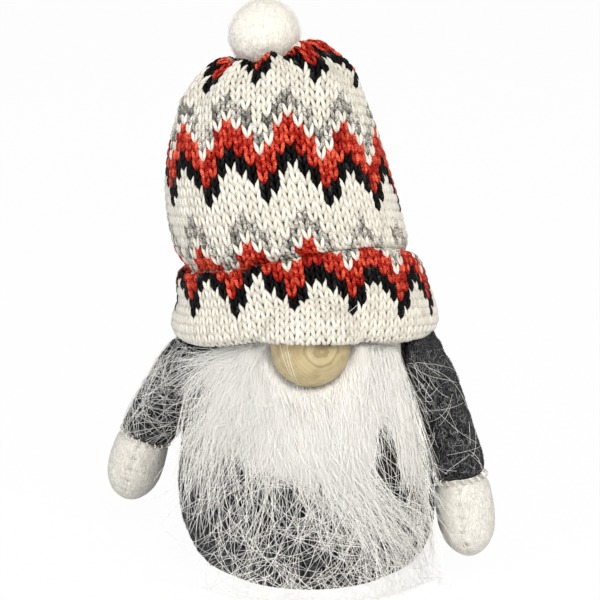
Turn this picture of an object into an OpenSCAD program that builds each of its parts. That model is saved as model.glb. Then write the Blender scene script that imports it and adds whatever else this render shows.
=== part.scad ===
// Tomte gnome figurine: a weighted, stuffed felt body with two hanging arms, a fur beard,
// a turned wooden nose and a knitted hat pulled down over the head.
// Millimetres, +Z up. The origin is the centre of the felt base, and the figure faces -Y.
// "Left" and "right" are the figure's own, so the left arm is on the +X side.

/* [Body] */
// Widest diameter of the stuffed body
body_d = 82; // [70:1:100]
// Diameter of the foot of the felt body, where the base is sewn in
foot_d = 64; // [50:1:68]
// Height of the rounded lower edge
corner_h = 17; // [10:1:24]
// Diameter of the body where the hat's hem sits
neck_d = 67; // [60:1:74]
// Height of the neck above the table
neck_z = 78; // [70:1:90]
// Height of the head above the neck
head_h = 30; // [24:1:34]
// Bend of the body's side: 1 is a straight cone, more is fuller
side_curve = 1.25; // [1:0.05:1.6]
// Thickness of the felt
felt_t = 1.6; // [1:0.1:2]
// Opening left where the felt is drawn together on top of the head
gather_d = 6; // [4:1:10]

/* [Weight] */
// Thickness of the stiff card in the base
board_t = 1.5; // [0.8:0.1:3]
// Diameter of the card
board_d = 57; // [40:1:57]
// Diameter of the pellet bag
bag_d = 52; // [40:1:56]
// Height of the filled pellet bag
bag_h = 16; // [10:1:24]
// Thickness of the bag's cloth
bag_t = 0.6; // [0.4:0.1:1]
// Width of the bag's sewn edge
bag_edge = 2.5; // [1.5:0.5:4]

/* [Hat] */
// Thickness of the knitted fabric
knit_t = 2.4; // [1.5:0.1:3]
// Height of the cuff, from the hem to the crease
cuff_h = 20; // [14:1:26]
// Thickness of the rolled cuff at its fullest
cuff_t = 7.4; // [6:0.1:9]
// Height of the hat from the crease up to the drawn-in crown
upper_h = 63; // [50:1:75]
// Diameter just above the crease
bulge_d = 73; // [70:1:80]
// Diameter where the sides turn in to the crown
crown_d = 52; // [46:1:56]
// Height of the puckered roll above the crown's centre
roll_h = 6; // [3:0.5:9]
// Number of puckers drawn round the crown
puckers = 9; // [6:1:12]
// Depth of the puckers
pucker_h = 1; // [0:0.1:1.5]
// Opening left where the crown is drawn together
crown_hole_d = 5; // [4:0.5:7]
// How far the crown has sunk to the figure's right
hat_sway = 10.9; // [0:0.1:14]
// Tilt of the crown to the figure's right, in degrees
crown_tilt = 8; // [0:1:12]
// How far the cuff sits off the middle
hat_shift = 1.6; // [0:0.1:4]
// How far the crease rises at the front
crease_rise = 12; // [0:0.5:14]
// How far the hem is pushed up over the nose
hem_lift = 7.5; // [4:0.5:9]
// Diameter of the pompom
pompom_d = 22.5; // [16:0.5:28]

/* [Face] */
// Diameter of the wooden nose
nose_d = 24; // [18:0.5:26]
// Height of the nose's dome
nose_h = 10.5; // [7:0.5:13]
// Rounding of the nose's back edge
nose_edge = 1.2; // [0.5:0.1:2]
// Height of the middle of the nose
nose_z = 80; // [76:1:84]
// Thickness of the glue at the lower edge of the nose
glue_t = 0.4; // [0.3:0.1:1]
// Thickness of the fur's backing cloth
backing_t = 0.8; // [0.5:0.1:1.2]
// Lower tip of the backing cloth
backing_low = 40; // [30:1:55]
// Thickness of the fur at its fullest
pile_t = 7; // [4:0.5:9]
// Lowest point of the fur
pile_low = 5; // [2:0.5:12]
// How much higher the fur ends towards the beard's sides
pile_rise = 16; // [8:1:20]
// Number of locks across the beard
locks = 9; // [5:1:13]
// Polar angle of the beard's edge on the figure's right
beard_right = -148; // [-155:1:-130]
// Polar angle of the beard's edge on the figure's left
beard_left = -36; // [-50:1:-34]

/* [Arms] */
// Length of the sleeve from the shoulder seam to the wrist
sleeve_len = 41; // [36:1:50]
// Diameter of the sleeve at the wrist
wrist_d = 17; // [12:0.5:18]
// Length of the mitten
mitten_len = 26; // [18:1:28]
// Diameter of the mitten at its fullest
mitten_d = 18.2; // [13:0.2:20]
// Width of the flat seam at the shoulder
shoulder_w = 12; // [9:0.5:14]
// Thickness of the pressed seam at the shoulder
seam_t = 3.2; // [2.6:0.1:4]
// Lean of the hanging left arm away from the body's side, in degrees
left_off = 1; // [1:0.5:8]
// Lean of the hanging right arm, which the beard's edge holds further out
right_off = 11.5; // [4:0.5:14]
// Place of the left arm round the body, as a polar angle
left_place = -15; // [-17:1:10]
// Place of the right arm round the body, as a polar angle
right_place = 172; // [160:1:180]
// Forward swing of the left hand, in degrees
left_sweep = 3; // [-10:1:10]
// Backward swing of the right hand, in degrees
right_sweep = 14; // [-10:1:20]
// Diameter of the strong thread that ties the arms, head and pompom
thread_d = 1; // [0.6:0.1:1.4]
// Diameter of the fine sewing thread
stitch_d = 0.6; // [0.4:0.1:0.9]
// Stitches round each wrist
wrist_stitches = 12; // [6:1:12]
// Stitches down each mitten's edge
edge_stitches = 6; // [3:1:8]

/* [Hidden] */
$fn = 96;
// Clearances: between cloths, round a thread in its hole, and round the filling
cloth_gap = 0.4;
thread_gap = 0.06;
fill_gap = 0.3;
// Facets round the lofted soft pieces
hat_sides = 46;
arm_sides = 20;
fur_columns = 26;
fur_levels = 8;

base_r = foot_d / 2;
belly_r = body_d / 2;
neck_r = neck_d / 2;
gather_r = gather_d / 2;
body_h = neck_z + head_h;
thread_r = thread_d / 2;
knot_r = 2.2 * thread_r;
stitch_r = stitch_d / 2;

board_z = felt_t + cloth_gap / 4;
bag_z = board_z + board_t + cloth_gap / 4;
bag_mid_z = bag_z + bag_h / 2;
bag_edge_t = 2 * bag_t;

hem_z = neck_z - 2;
crease_z = hem_z + cuff_h;
crown_z = crease_z + upper_h;
lean_z = crease_z - cuff_h / 2;
crease_r = bulge_d / 2 - 1.5;
crown_r = crown_d / 2;
crown_hole_r = crown_hole_d / 2;
pompom_r = pompom_d / 2;
pompom_z = crown_z + pompom_r + 2 * cloth_gap;

nose_r = nose_d / 2;
backing_top = neck_z + head_h / 4;
nose_back_y = -(body_r(nose_z - nose_r) + cloth_gap + backing_t + glue_t);
glue_r = 0.4 * nose_r;
pile_gap = 2 * cloth_gap + backing_t;

barrel_r = seam_t / 2;
hinge_z = hem_z - barrel_r - 2.2;
hinge_r = body_r(hinge_z) + cloth_gap + barrel_r;
loop_y = shoulder_w / 2 + 2 * thread_r;
arm_len = sleeve_len + mitten_len;
wrist_r = wrist_d / 2;
// Steepest slope of the body's side below the shoulders, and the lean of each arm from upright
side_lean = max([for (s = [0.05:0.05:1])
    atan2(body_r(hinge_z - s * arm_len) - body_r(hinge_z), s * arm_len)]);
left_lean = side_lean + left_off;
right_lean = side_lean + right_off;
mitten_r = mitten_d / 2;

felt_grey = "#3a3c3f";
mitten_white = "#e9e6de";
yarn_white = "#efebe1";
fur_white = "#f1f0ee";
wood = "#d8bd8a";
thread_black = "#1d1d1f";
card_brown = "#b79a6b";
fill_white = "#f6f6f4";

function blend(a, b, t) = a + (b - a) * t;
function clamp01(t) = max(0, min(1, t));
function ease(t) = let (u = clamp01(t)) u * u * (3 - 2 * u);
function reversed(list) = [for (k = [len(list) - 1:-1:0]) list[k]];
function bell(x, width) = exp(-pow(x / width, 2));

// Surfaces made from rings of points

// Triangles between two neighbouring rings of n points that run anticlockwise and climb
function band(low, high, n) = [
    for (j = [0:n - 1])
        let (k = (j + 1) % n)
            each [[low + j, high + j, low + k], [low + k, high + j, high + k]]
];

// A closed solid through rings that climb from one end point to another
module skin(first, rings, last) {
    n = len(rings[0]);
    m = len(rings);
    points = concat([first], [for (ring = rings) each ring], [last]);
    bottom = [for (j = [0:n - 1]) [0, 1 + j, 1 + (j + 1) % n]];
    sides = [for (i = [0:m - 2]) each band(1 + i * n, 1 + (i + 1) * n, n)];
    top = [for (j = [0:n - 1]) [m * n + 1, 1 + (m - 1) * n + (j + 1) % n, 1 + (m - 1) * n + j]];
    polyhedron(points = points, faces = concat(bottom, sides, top));
}

// A closed solid through rings that climb outside, turn over and come back down inside
module tube_skin(rings) {
    n = len(rings[0]);
    m = len(rings);
    points = [for (ring = rings) each ring];
    polyhedron(points = points, faces = [for (i = [0:m - 1]) each band(i * n, ((i + 1) % m) * n, n)]);
}

// Body

function body_r(z) =
    z <= corner_h ? base_r + (belly_r - base_r) * sin(acos(1 - max(z, 0) / corner_h)) :
    z <= neck_z ? blend(belly_r, neck_r, pow((z - corner_h) / (neck_z - corner_h), side_curve)) :
    neck_r * sqrt(max(0, 1 - pow((z - neck_z) / head_h, 2)));

// The body's half section from the foot up to radius end_r, drawn in by inset
function body_outline(inset, end_r) =
    let (side_steps = 8, last = acos(end_r / (neck_r - inset)))
    concat(
        [for (a = [0:15:90])
            [base_r - inset + (belly_r - base_r) * sin(a), inset + (corner_h - inset) * (1 - cos(a))]],
        [for (k = [1:side_steps])
            let (z = blend(corner_h, neck_z, k / side_steps)) [body_r(z) - inset, z]],
        [for (k = [1:9])
            let (b = last * k / 9) [(neck_r - inset) * cos(b), neck_z + (head_h - inset) * sin(b)]]
    );

module body_felt() {
    color(felt_grey)
        difference() {
            rotate_extrude()
                polygon(concat(body_outline(0, gather_r), reversed(body_outline(felt_t, gather_r))));
            at_shoulder(left_place) thread_holes();
            at_shoulder(right_place) thread_holes();
        }
}

module base_felt() {
    color(felt_grey)
        cylinder(h = felt_t, r = base_r - felt_t - cloth_gap / 4);
}

module base_board() {
    color(card_brown)
        translate([0, 0, board_z])
            cylinder(h = board_t, d = board_d);
}

// The pellet bag's half section: a flat cushion, with its sewn edge where edge_w is over 0
module bag_section(inset, edge_w, edge_t) {
    polygon([for (b = [-90:10:90])
        [(bag_d / 2 - inset) * sqrt(cos(b)), bag_mid_z + (bag_h / 2 - inset) * sin(b)]]);
    if (edge_w > 0)
        translate([bag_d / 4, bag_mid_z - edge_t / 2])
            square([bag_d / 4 + edge_w, edge_t]);
}

module weight_bag() {
    color(yarn_white)
        difference() {
            rotate_extrude() bag_section(0, bag_edge, bag_edge_t);
            rotate_extrude() bag_section(bag_t, 0, 0);
        }
}

module weight_pellets() {
    color(card_brown)
        rotate_extrude() bag_section(bag_t + fill_gap / 2, 0, 0);
}

module body_filling() {
    inset = felt_t + fill_gap;
    outline = body_outline(inset, gather_r);
    color(fill_white)
        difference() {
            rotate_extrude()
                polygon(concat([[0, inset]], outline, [[0, outline[len(outline) - 1][1]]]));
            rotate_extrude()
                bag_section(-fill_gap, bag_edge + fill_gap, bag_edge_t + 2 * fill_gap);
            cylinder(h = bag_z + fill_gap, r = belly_r);
            cylinder(h = bag_mid_z, r = bag_d / 2 - bag_edge);
            at_shoulder(left_place) knot_pockets();
            at_shoulder(right_place) knot_pockets();
        }
}

// The thread that draws the felt together on top of the head
module head_thread() {
    ring_r = gather_r + thread_d;
    color(thread_black)
        translate([0, 0, body_r_top(ring_r) + thread_r + cloth_gap / 4])
            rotate_extrude()
                translate([ring_r, 0])
                    circle(r = thread_r);
}

function body_r_top(r) = neck_z + head_h * sqrt(1 - pow(r / neck_r, 2));

// Hat

function hat_x(z) = -hat_shift - hat_sway * sin(90 * clamp01((z - lean_z) / (crown_z - lean_z)));
function hat_tilt(z) = tan(crown_tilt) * ease((z - crease_z) / upper_h);
function front_angle(a) = ((a + 90 + 540) % 360) - 180;
function over_nose(a) = hem_lift * bell(front_angle(a), 40);
function at_front(a) = crease_rise * bell(front_angle(a) - 18, 60);

// Distance from a point x on the figure's middle line out to the nose, grown by margin
function nose_reach(x, a, z, margin) =
    let (w = nose_r + margin, d = nose_h + margin,
         k = 1 - pow((z - nose_z) / w, 2),
         qa = pow(cos(a) / w, 2) + pow(sin(a) / d, 2),
         qb = 2 * (x * cos(a) / (w * w) - nose_back_y * sin(a) / (d * d)),
         qc = pow(x / w, 2) + pow(nose_back_y / d, 2) - k,
         root = qb * qb - 4 * qa * qc)
    k <= 0 || root <= 0 ? 0 : (-qb + sqrt(root)) / (2 * qa);

// Share of the puckers at a height: none on the sides, all of them at the crown
function pucker_share(z) = ease((z - crown_z + upper_h / 4) / (upper_h / 4));
function pucker(a) = cos(puckers * a + 40) + 0.35 * cos((puckers - 4) * a + 110);

// One ring of the hat. The hem lifts over the nose and the crease rises at the front, each by its share.
function hat_ring(r, z, x, nose_margin, lift, rise) = [
    for (j = [0:hat_sides - 1])
        let (a = 360 * j / hat_sides,
             folds = pucker_share(z) * clamp01(2 * r / crown_r) * pucker_h * pucker(a),
             height = z + lift * over_nose(a) + rise * at_front(a) + folds,
             reach = nose_margin < 0 ? 0 : nose_reach(x, a, height, nose_margin),
             radius = max(r, reach) + 0.5 * folds)
            [x + radius * cos(a), radius * sin(a), height + hat_tilt(z) * radius * cos(a)]
];

function head_room(z) = body_r(z) + pile_gap;
// Radius of the hat's side above the crease, at a share u of the way up to the crown
function side_r(u) = blend(bulge_d / 2, crown_r, pow(u, 2.1));

module hat_knit() {
    cuff_r = head_room(neck_z) + cuff_t;
    inside = 5.5 * cloth_gap;
    outside = inside + knit_t;
    side_low = crease_z + 0.12 * upper_h;
    side_high = crown_z - 0.03 * upper_h;
    // [radius, height, nose margin or -1, share of the hem's lift, share of the crease's rise]
    outer = [
        [cuff_r - 0.35 * cuff_t, hem_z, outside, 1, 0],
        [cuff_r - 0.04 * cuff_t, hem_z + 0.1 * cuff_h, outside, 1, 0],
        [cuff_r - 0.04 * cuff_t, hem_z + 0.25 * cuff_h, outside, 0.8, 0.1],
        [cuff_r - 0.25 * cuff_t, hem_z + 0.55 * cuff_h, outside, 0.35, 0.45],
        [cuff_r - 0.48 * cuff_t, crease_z - 0.12 * cuff_h, outside, 0, 0.92],
        [crease_r + 1.6, crease_z - 0.02 * cuff_h, outside, 0, 1],
        [crease_r, crease_z, outside, 0, 1],
        [crease_r + 0.8, crease_z + 0.05 * upper_h, -1, 0, 0.8],
        for (u = [0, 0.22, 0.44, 0.64, 0.82, 0.95])
            [side_r(u), blend(side_low, side_high, u), -1, 0, 0.5 * (1 - u)],
        [0.9 * crown_r, crown_z + 0.4 * roll_h, -1, 0, 0],
        [0.7 * crown_r, crown_z + roll_h, -1, 0, 0],
        [0.52 * crown_r, crown_z + 1.1 * roll_h, -1, 0, 0],
        [0.38 * crown_r, crown_z + 0.6 * roll_h, -1, 0, 0],
        [crown_hole_r, crown_z, -1, 0, 0]
    ];
    inner = [
        [crown_hole_r, crown_z - knit_t, -1, 0, 0],
        [0.6 * crown_r, crown_z + roll_h - knit_t, -1, 0, 0],
        [0.9 * crown_r - knit_t, crown_z - knit_t, -1, 0, 0],
        for (u = [0.8, 0.45, 0])
            [side_r(u) - knit_t, blend(side_low, side_high, u), -1, 0, 0.5 * (1 - u)]
    ];
    seat = [
        for (share = [0.62, 0.34, 0.04])
            let (z = hem_z + share * cuff_h) [head_room(z), z, inside, 1 - share, 0.5 * share]
    ];
    color(yarn_white)
        tube_skin([
            for (p = concat(outer, inner)) hat_ring(p[0], p[1], hat_x(p[1]), p[2], p[3], p[4]),
            for (p = seat) hat_ring(p[0], p[1], 0, p[2], p[3], p[4])
        ]);
}

// Loose filling between the top of the head and the crown of the hat
module hat_filling() {
    sides = 32;
    head_gap = thread_d + fill_gap + cloth_gap;
    top_z = crown_z - knit_t - 2 * knot_r - 2 * fill_gap;
    low_z = crease_z + 0.15 * upper_h;
    dome_h = head_h + head_gap;
    dome_r = neck_r + head_gap;
    lip = acos(min(1, (low_z - neck_z) / dome_h));
    function circle_ring(r, x, z, tilt) = [
        for (j = [0:sides - 1])
            let (a = 360 * j / sides) [x + r * cos(a), r * sin(a), z + tilt * r * cos(a)]
    ];
    under = [
        for (b = [0.3, 0.65, 1])
            circle_ring(dome_r * sin(b * lip), 0, neck_z + dome_h * cos(b * lip), 0)
    ];
    over = [
        for (u = [0.02, 0.3, 0.6, 0.85, 1])
            let (z = blend(low_z, top_z, u), side = (z - crease_z) / upper_h)
                circle_ring(
                    (side_r(side) - knit_t - pucker_h - 2 * fill_gap) * (u < 1 ? 1 : 0.8), hat_x(z), z,
                    hat_tilt(z))
    ];
    color(fill_white)
        skin([0, 0, neck_z + dome_h], concat(under, over), [hat_x(top_z), 0, top_z]);
}

// Places children on the tilted crown
module at_crown() {
    translate([hat_x(crown_z), 0, crown_z])
        rotate([0, -crown_tilt, 0])
            children();
}

// The thread that draws the crown together
module crown_thread() {
    color(yarn_white)
        at_crown()
            translate([0, 0, -knit_t / 2])
                rotate_extrude()
                    translate([crown_hole_r - thread_r - cloth_gap, 0])
                        circle(r = thread_r);
}

module pompom() {
    color(fur_white)
        at_crown()
            translate([0, 0, pompom_z - crown_z])
                difference() {
                    sphere(r = pompom_r);
                    translate([0, 0, -pompom_r])
                        cylinder(h = pompom_r, r = thread_r + thread_gap);
                    sphere(r = knot_r + thread_gap);
                }
}

// The thread that ties the pompom down, knotted in its middle and under the crown
module pompom_thread() {
    low = -knit_t - knot_r - cloth_gap;
    high = pompom_z - crown_z;
    color(yarn_white)
        at_crown() {
            translate([0, 0, low])
                cylinder(h = high - low, r = thread_r);
            translate([0, 0, low])
                sphere(r = knot_r);
            translate([0, 0, high])
                sphere(r = knot_r);
        }
}

// Beard and nose

module beard_backing() {
    steps = 8;
    top_w = 2 * neck_r * 0.84;
    wall = [
        for (k = [0:steps])
            let (z = blend(backing_low, backing_top, k / steps)) [body_r(z) + cloth_gap, z]
    ];
    color(yarn_white)
        intersection() {
            rotate_extrude()
                polygon(concat(wall, reversed([for (p = wall) [p[0] + backing_t, p[1]]])));
            rotate([90, 0, 0])
                linear_extrude(body_d)
                    polygon([
                        [-top_w / 2, backing_top + 1], [-top_w / 2, blend(backing_low, backing_top, 0.45)],
                        [-top_w / 5, backing_low - 1], [top_w / 5, backing_low - 1],
                        [top_w / 2, blend(backing_low, backing_top, 0.45)], [top_w / 2, backing_top + 1]
                    ]);
        }
}

// Height of the fur's upper edge: under the hem, and round the lower half of the nose
function fur_top(a) =
    let (x = body_r(nose_z) * cos(a), room = nose_r + 2 * cloth_gap,
         under_hem = hem_z + over_nose(a) - 2 * cloth_gap)
    abs(x) < room ? min(under_hem, nose_z - sqrt(room * room - x * x)) : under_hem;

function fur_bottom(a) =
    let (side = (a - beard_right) / (beard_left - beard_right))
    pile_low + pile_rise * pow(abs(2 * side - 1.1), 3) + 1.5 * (1 + cos(360 * locks * side));

function fur_thickness(side, u) =
    let (edge = 0.3 + 0.7 * pow(sin(180 * side), 0.5),
         swell = 0.45 + 0.55 * sin(180 * pow(u, 0.75)),
         lock = 0.09 * (1 - cos(360 * locks * side)) * ease(u * 3))
    pile_t * edge * (swell - lock);

// The fur as one closed mass: a row of upright sections round the front of the body
module beard_pile() {
    sections = [
        for (i = [0:fur_columns])
            let (side = i / fur_columns,
                 a = blend(beard_right, beard_left, side),
                 top = fur_top(a),
                 bottom = fur_bottom(a),
                 point = function(u, outward)
                     let (z = blend(top, bottom, u),
                          r = body_r(max(z, corner_h)) + pile_gap
                              + outward * max(0.8, fur_thickness(side, u)))
                     [r * cos(a), r * sin(a), z])
            concat(
                [for (k = [0:fur_levels]) point(k / fur_levels, 1)],
                [for (k = [fur_levels:-1:0]) point(k / fur_levels, 0)])
    ];
    color(fur_white)
        skin(middle(sections[0]), sections, middle(sections[fur_columns]));
}

function middle(ring) = [for (k = [0:2]) sum([for (p = ring) p[k]]) / len(ring)];
function sum(list, k = 0) = k == len(list) ? 0 : list[k] + sum(list, k + 1);

module nose() {
    color(wood)
        translate([0, nose_back_y, nose_z])
            rotate([90, 0, 0])
                rotate_extrude()
                    polygon(concat(
                        [[0, 0], [nose_r - nose_edge, 0]],
                        [for (b = [-60:30:-30])
                            [nose_r + nose_edge * (cos(b) - 1), nose_edge * (1 + sin(b))]],
                        [for (b = [0:6:90])
                            [nose_r * cos(b), nose_edge + (nose_h - nose_edge) * sin(b)]]
                    ));
}

// A dab of glue between the flat back of the nose and the beard's backing
module nose_glue() {
    backing_r = body_r(nose_z - glue_r) + cloth_gap + backing_t;
    color(fill_white)
        translate([0, nose_back_y, nose_z])
            rotate([-90, 0, 0])
                cylinder(h = -nose_back_y - backing_r - cloth_gap / 4, r = glue_r);
}

// Arms. Each is drawn at its shoulder: +X points away from the body and the seam lies along Y.

module at_shoulder(place) {
    rotate([0, 0, place])
        translate([hinge_r, 0, hinge_z])
            children();
}

// The two thread holes through the body's felt beside a shoulder
module thread_holes() {
    for (y = [-loop_y, loop_y])
        translate([0, y, 0])
            rotate([0, -90, 0])
                cylinder(h = hinge_r / 2, r = thread_r + thread_gap);
}

// How far inside the seam the thread's knots lie
function knot_x() = sqrt(pow(body_r(hinge_z) - felt_t, 2) - loop_y * loop_y) - hinge_r - knot_r - cloth_gap;

module knot_pockets() {
    for (y = [-loop_y, loop_y]) {
        translate([knot_x(), y, 0])
            sphere(r = knot_r + fill_gap);
        translate([0, y, 0])
            rotate([0, -90, 0])
                cylinder(h = -knot_x(), r = thread_r + fill_gap);
    }
}

// A loop of thread that carries one arm: a bar through the seam, with both ends knotted in the body
module shoulder_loop() {
    color(thread_black) {
        rotate([90, 0, 0])
            cylinder(h = 2 * loop_y, r = thread_r, center = true);
        for (y = [-loop_y, loop_y])
            translate([0, y, 0]) {
                sphere(r = thread_r);
                rotate([0, -90, 0])
                    cylinder(h = -knot_x(), r = thread_r);
                translate([knot_x(), 0, 0])
                    sphere(r = knot_r);
            }
    }
}

// Half thickness away from the body, and half width, at a distance s down the arm
function sleeve_half(s) = blend(barrel_r, wrist_r, pow(clamp01(s / sleeve_len), 0.35));
function mitten_share(s) = clamp01((s - sleeve_len) / mitten_len);
function mitten_half(s) =
    let (u = mitten_share(s))
    blend(wrist_r, mitten_r, ease(u / 0.4)) * sqrt(max(0, 1 - pow(clamp01((u - 0.4) / 0.6), 2.4)));
function arm_thick(s) = s <= sleeve_len ? sleeve_half(s) : mitten_half(s);
function arm_wide(s) =
    s <= sleeve_len ? blend(shoulder_w / 2, wrist_r, ease(s / (0.6 * sleeve_len))) : mitten_half(s);

// The middle of the arm: its inner face hangs straight down from the seam
function arm_middle(s, sweep) =
    [sleeve_half(s) - barrel_r, s * sin(sweep), -s * cos(sweep)];

function arm_ring(s, inset, sweep) =
    let (c = arm_middle(s, sweep))
    [for (k = [0:arm_sides - 1])
        let (a = 360 * k / arm_sides)
            c + [(arm_thick(s) - inset) * cos(a), (arm_wide(s) - inset) * sin(a), 0]];

module hang(lean) {
    rotate([0, -lean, 0])
        children();
}

// A felt tube, open at the wrist and pressed flat at the shoulder
module sleeve(lean, sweep) {
    outer = [for (s = [0, 2, 5, 10, 17, 26, 36]) s * sleeve_len / 46];
    inner = [for (s = [40, 28, 18, 11]) s * sleeve_len / 46];
    rings = concat(
        [for (s = reversed(inner)) arm_ring(s, felt_t, sweep)],
        [arm_ring(sleeve_len, felt_t, sweep), arm_ring(sleeve_len, 0, sweep)],
        [for (s = reversed(outer)) arm_ring(s, 0, sweep)]);
    color(felt_grey)
        hang(lean)
            difference() {
                union() {
                    skin(arm_middle(inner[3] - felt_t, sweep), rings, [0, 0, 0]);
                    rotate([90, 0, 0])
                        cylinder(h = shoulder_w, r = barrel_r, center = true);
                }
                rotate([90, 0, 0])
                    cylinder(h = 2 * shoulder_w, r = thread_r + thread_gap, center = true);
            }
}

// A felt mitten, open at the wrist, where it is sewn edge to edge to the sleeve
module mitten(lean, sweep) {
    wrist = sleeve_len + cloth_gap / 4;
    shares = [0.12, 0.28, 0.45, 0.62, 0.76, 0.87, 0.95];
    tip = arm_len;
    outer = [for (u = shares) sleeve_len + u * mitten_len];
    inner = [for (u = [0.3, 0.6, 0.78]) sleeve_len + u * mitten_len];
    rings = concat(
        [for (s = reversed(outer)) arm_ring(s, 0, sweep)],
        [arm_ring(wrist, 0, sweep), arm_ring(wrist, felt_t, sweep)],
        [for (s = inner) arm_ring(s, felt_t, sweep)]);
    color(mitten_white)
        hang(lean)
            skin(arm_middle(tip, sweep), rings, arm_middle(tip - 2 * felt_t, sweep));
}

module arm_filling(lean, sweep) {
    inset = felt_t + fill_gap;
    sleeve_part = [for (s = [14, 20, 30, 40]) s * sleeve_len / 46];
    mitten_part = [for (u = [0.05, 0.3, 0.55, 0.72]) sleeve_len + u * mitten_len];
    stations = concat(sleeve_part, mitten_part);
    color(fill_white)
        hang(lean)
            skin(
                arm_middle(arm_len - 2 * inset - fill_gap, sweep),
                [for (s = reversed(stations)) arm_ring(s, inset, sweep)],
                arm_middle(stations[0] - fill_gap, sweep));
}

// A point just clear of the arm, at angle a round it
function arm_point(s, a, sweep, clear) =
    arm_middle(s, sweep) + [(arm_thick(s) + clear) * cos(a), (arm_wide(s) + clear) * sin(a), 0];

// One thread stitch that lies along the arm
module stitch(s, a, sweep, length) {
    clear = stitch_r + cloth_gap / 2;
    along = arm_point(s - 1, a, sweep, 0) - arm_point(s + 1, a, sweep, 0);
    translate(arm_point(s, a, sweep, clear))
        rotate([0, acos(along[2] / norm(along)), atan2(along[1], along[0])])
            translate([0, 0, -length / 2]) {
                cylinder(h = length, r = stitch_r);
                sphere(r = stitch_r);
                translate([0, 0, length])
                    sphere(r = stitch_r);
            }
}

// Thread that joins the mitten to the sleeve, and closes the mitten's edge on the side that faces forward
module mitten_sewing(lean, sweep, front) {
    corner = 360 / arm_sides;
    color(mitten_white)
        hang(lean) {
            for (k = [0:wrist_stitches - 1])
                stitch(sleeve_len, corner * round(k * arm_sides / wrist_stitches), sweep, mitten_len / 10);
            for (k = [1:edge_stitches])
                let (s = sleeve_len + mitten_len * (0.1 + 0.55 * k / edge_stitches))
                    stitch(s, front, sweep, mitten_len / 20);
        }
}

module left_sleeve() { at_shoulder(left_place) sleeve(left_lean, -left_sweep); }
module left_mitten() { at_shoulder(left_place) mitten(left_lean, -left_sweep); }
module left_arm_filling() { at_shoulder(left_place) arm_filling(left_lean, -left_sweep); }
module left_mitten_sewing() { at_shoulder(left_place) mitten_sewing(left_lean, -left_sweep, -90); }
module left_shoulder_loop() { at_shoulder(left_place) shoulder_loop(); }
module right_sleeve() { at_shoulder(right_place) sleeve(right_lean, -right_sweep); }
module right_mitten() { at_shoulder(right_place) mitten(right_lean, -right_sweep); }
module right_arm_filling() { at_shoulder(right_place) arm_filling(right_lean, -right_sweep); }
module right_mitten_sewing() { at_shoulder(right_place) mitten_sewing(right_lean, -right_sweep, 90); }
module right_shoulder_loop() { at_shoulder(right_place) shoulder_loop(); }

body_felt();
base_felt();
base_board();
weight_bag();
weight_pellets();
body_filling();
head_thread();
hat_knit();
hat_filling();
crown_thread();
pompom();
pompom_thread();
beard_backing();
beard_pile();
nose();
nose_glue();
left_sleeve();
left_mitten();
left_arm_filling();
left_mitten_sewing();
left_shoulder_loop();
right_sleeve();
right_mitten();
right_arm_filling();
right_mitten_sewing();
right_shoulder_loop();
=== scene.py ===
# Tomte gnome figurine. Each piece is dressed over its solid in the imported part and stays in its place:
# metres in the scene, +Z up, the figure faces -Y. Sizes in the sections below are in millimetres.
import math

import bpy
import numpy as np
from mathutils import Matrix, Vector
from mathutils.bvhtree import BVHTree


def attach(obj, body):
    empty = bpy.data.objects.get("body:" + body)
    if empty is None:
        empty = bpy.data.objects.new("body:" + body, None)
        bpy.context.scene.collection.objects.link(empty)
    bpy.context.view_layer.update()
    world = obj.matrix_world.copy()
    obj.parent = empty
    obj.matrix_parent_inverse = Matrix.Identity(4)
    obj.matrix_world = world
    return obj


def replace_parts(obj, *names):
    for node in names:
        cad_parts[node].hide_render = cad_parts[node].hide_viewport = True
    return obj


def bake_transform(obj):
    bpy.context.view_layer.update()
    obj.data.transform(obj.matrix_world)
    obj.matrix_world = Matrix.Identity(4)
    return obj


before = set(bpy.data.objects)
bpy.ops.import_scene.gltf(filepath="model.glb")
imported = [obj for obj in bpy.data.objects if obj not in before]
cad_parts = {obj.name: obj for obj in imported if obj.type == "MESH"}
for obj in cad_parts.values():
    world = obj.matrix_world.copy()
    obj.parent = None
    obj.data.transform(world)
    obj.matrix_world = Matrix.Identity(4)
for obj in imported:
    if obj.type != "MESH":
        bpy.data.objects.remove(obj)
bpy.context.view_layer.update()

# Weight in the foot: a disc of grey card, a calico bag of plastic pellets on it, and loose polyester
# filling packed round them and into the arms and the hat. The felt is sewn shut over all of it.
MM = 0.001
band = 0.314  # a wave texture's scale for one band to a metre


def linear(code):
    """Scene colour of an sRGB hex code."""
    parts = [int(code[k:k + 2], 16) / 255 for k in (1, 3, 5)]
    return [*(p / 12.92 if p <= 0.04045 else ((p + 0.055) / 1.055) ** 2.4 for p in parts), 1]


def add(tree, kind, inputs=None, stops=None, **settings):
    """A node with its settings, its ramp's stops, and its inputs: values or other nodes' outputs."""
    made = tree.nodes.new(kind)
    for name, value in settings.items():
        setattr(made, name, value)
    for k, (at, code) in enumerate(stops or []):
        stop = made.color_ramp.elements[k] if k < 2 else made.color_ramp.elements.new(at)
        stop.position, stop.color = at, linear(code)
    for name, value in (inputs or {}).items():
        if isinstance(value, bpy.types.NodeSocket):
            tree.links.new(value, made.inputs[name])
        else:
            made.inputs[name].default_value = value
    return made


def material(name):
    """An empty material and its tree."""
    made = bpy.data.materials.new(name)
    made.use_nodes = True
    made.node_tree.nodes.clear()
    return made, made.node_tree


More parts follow.
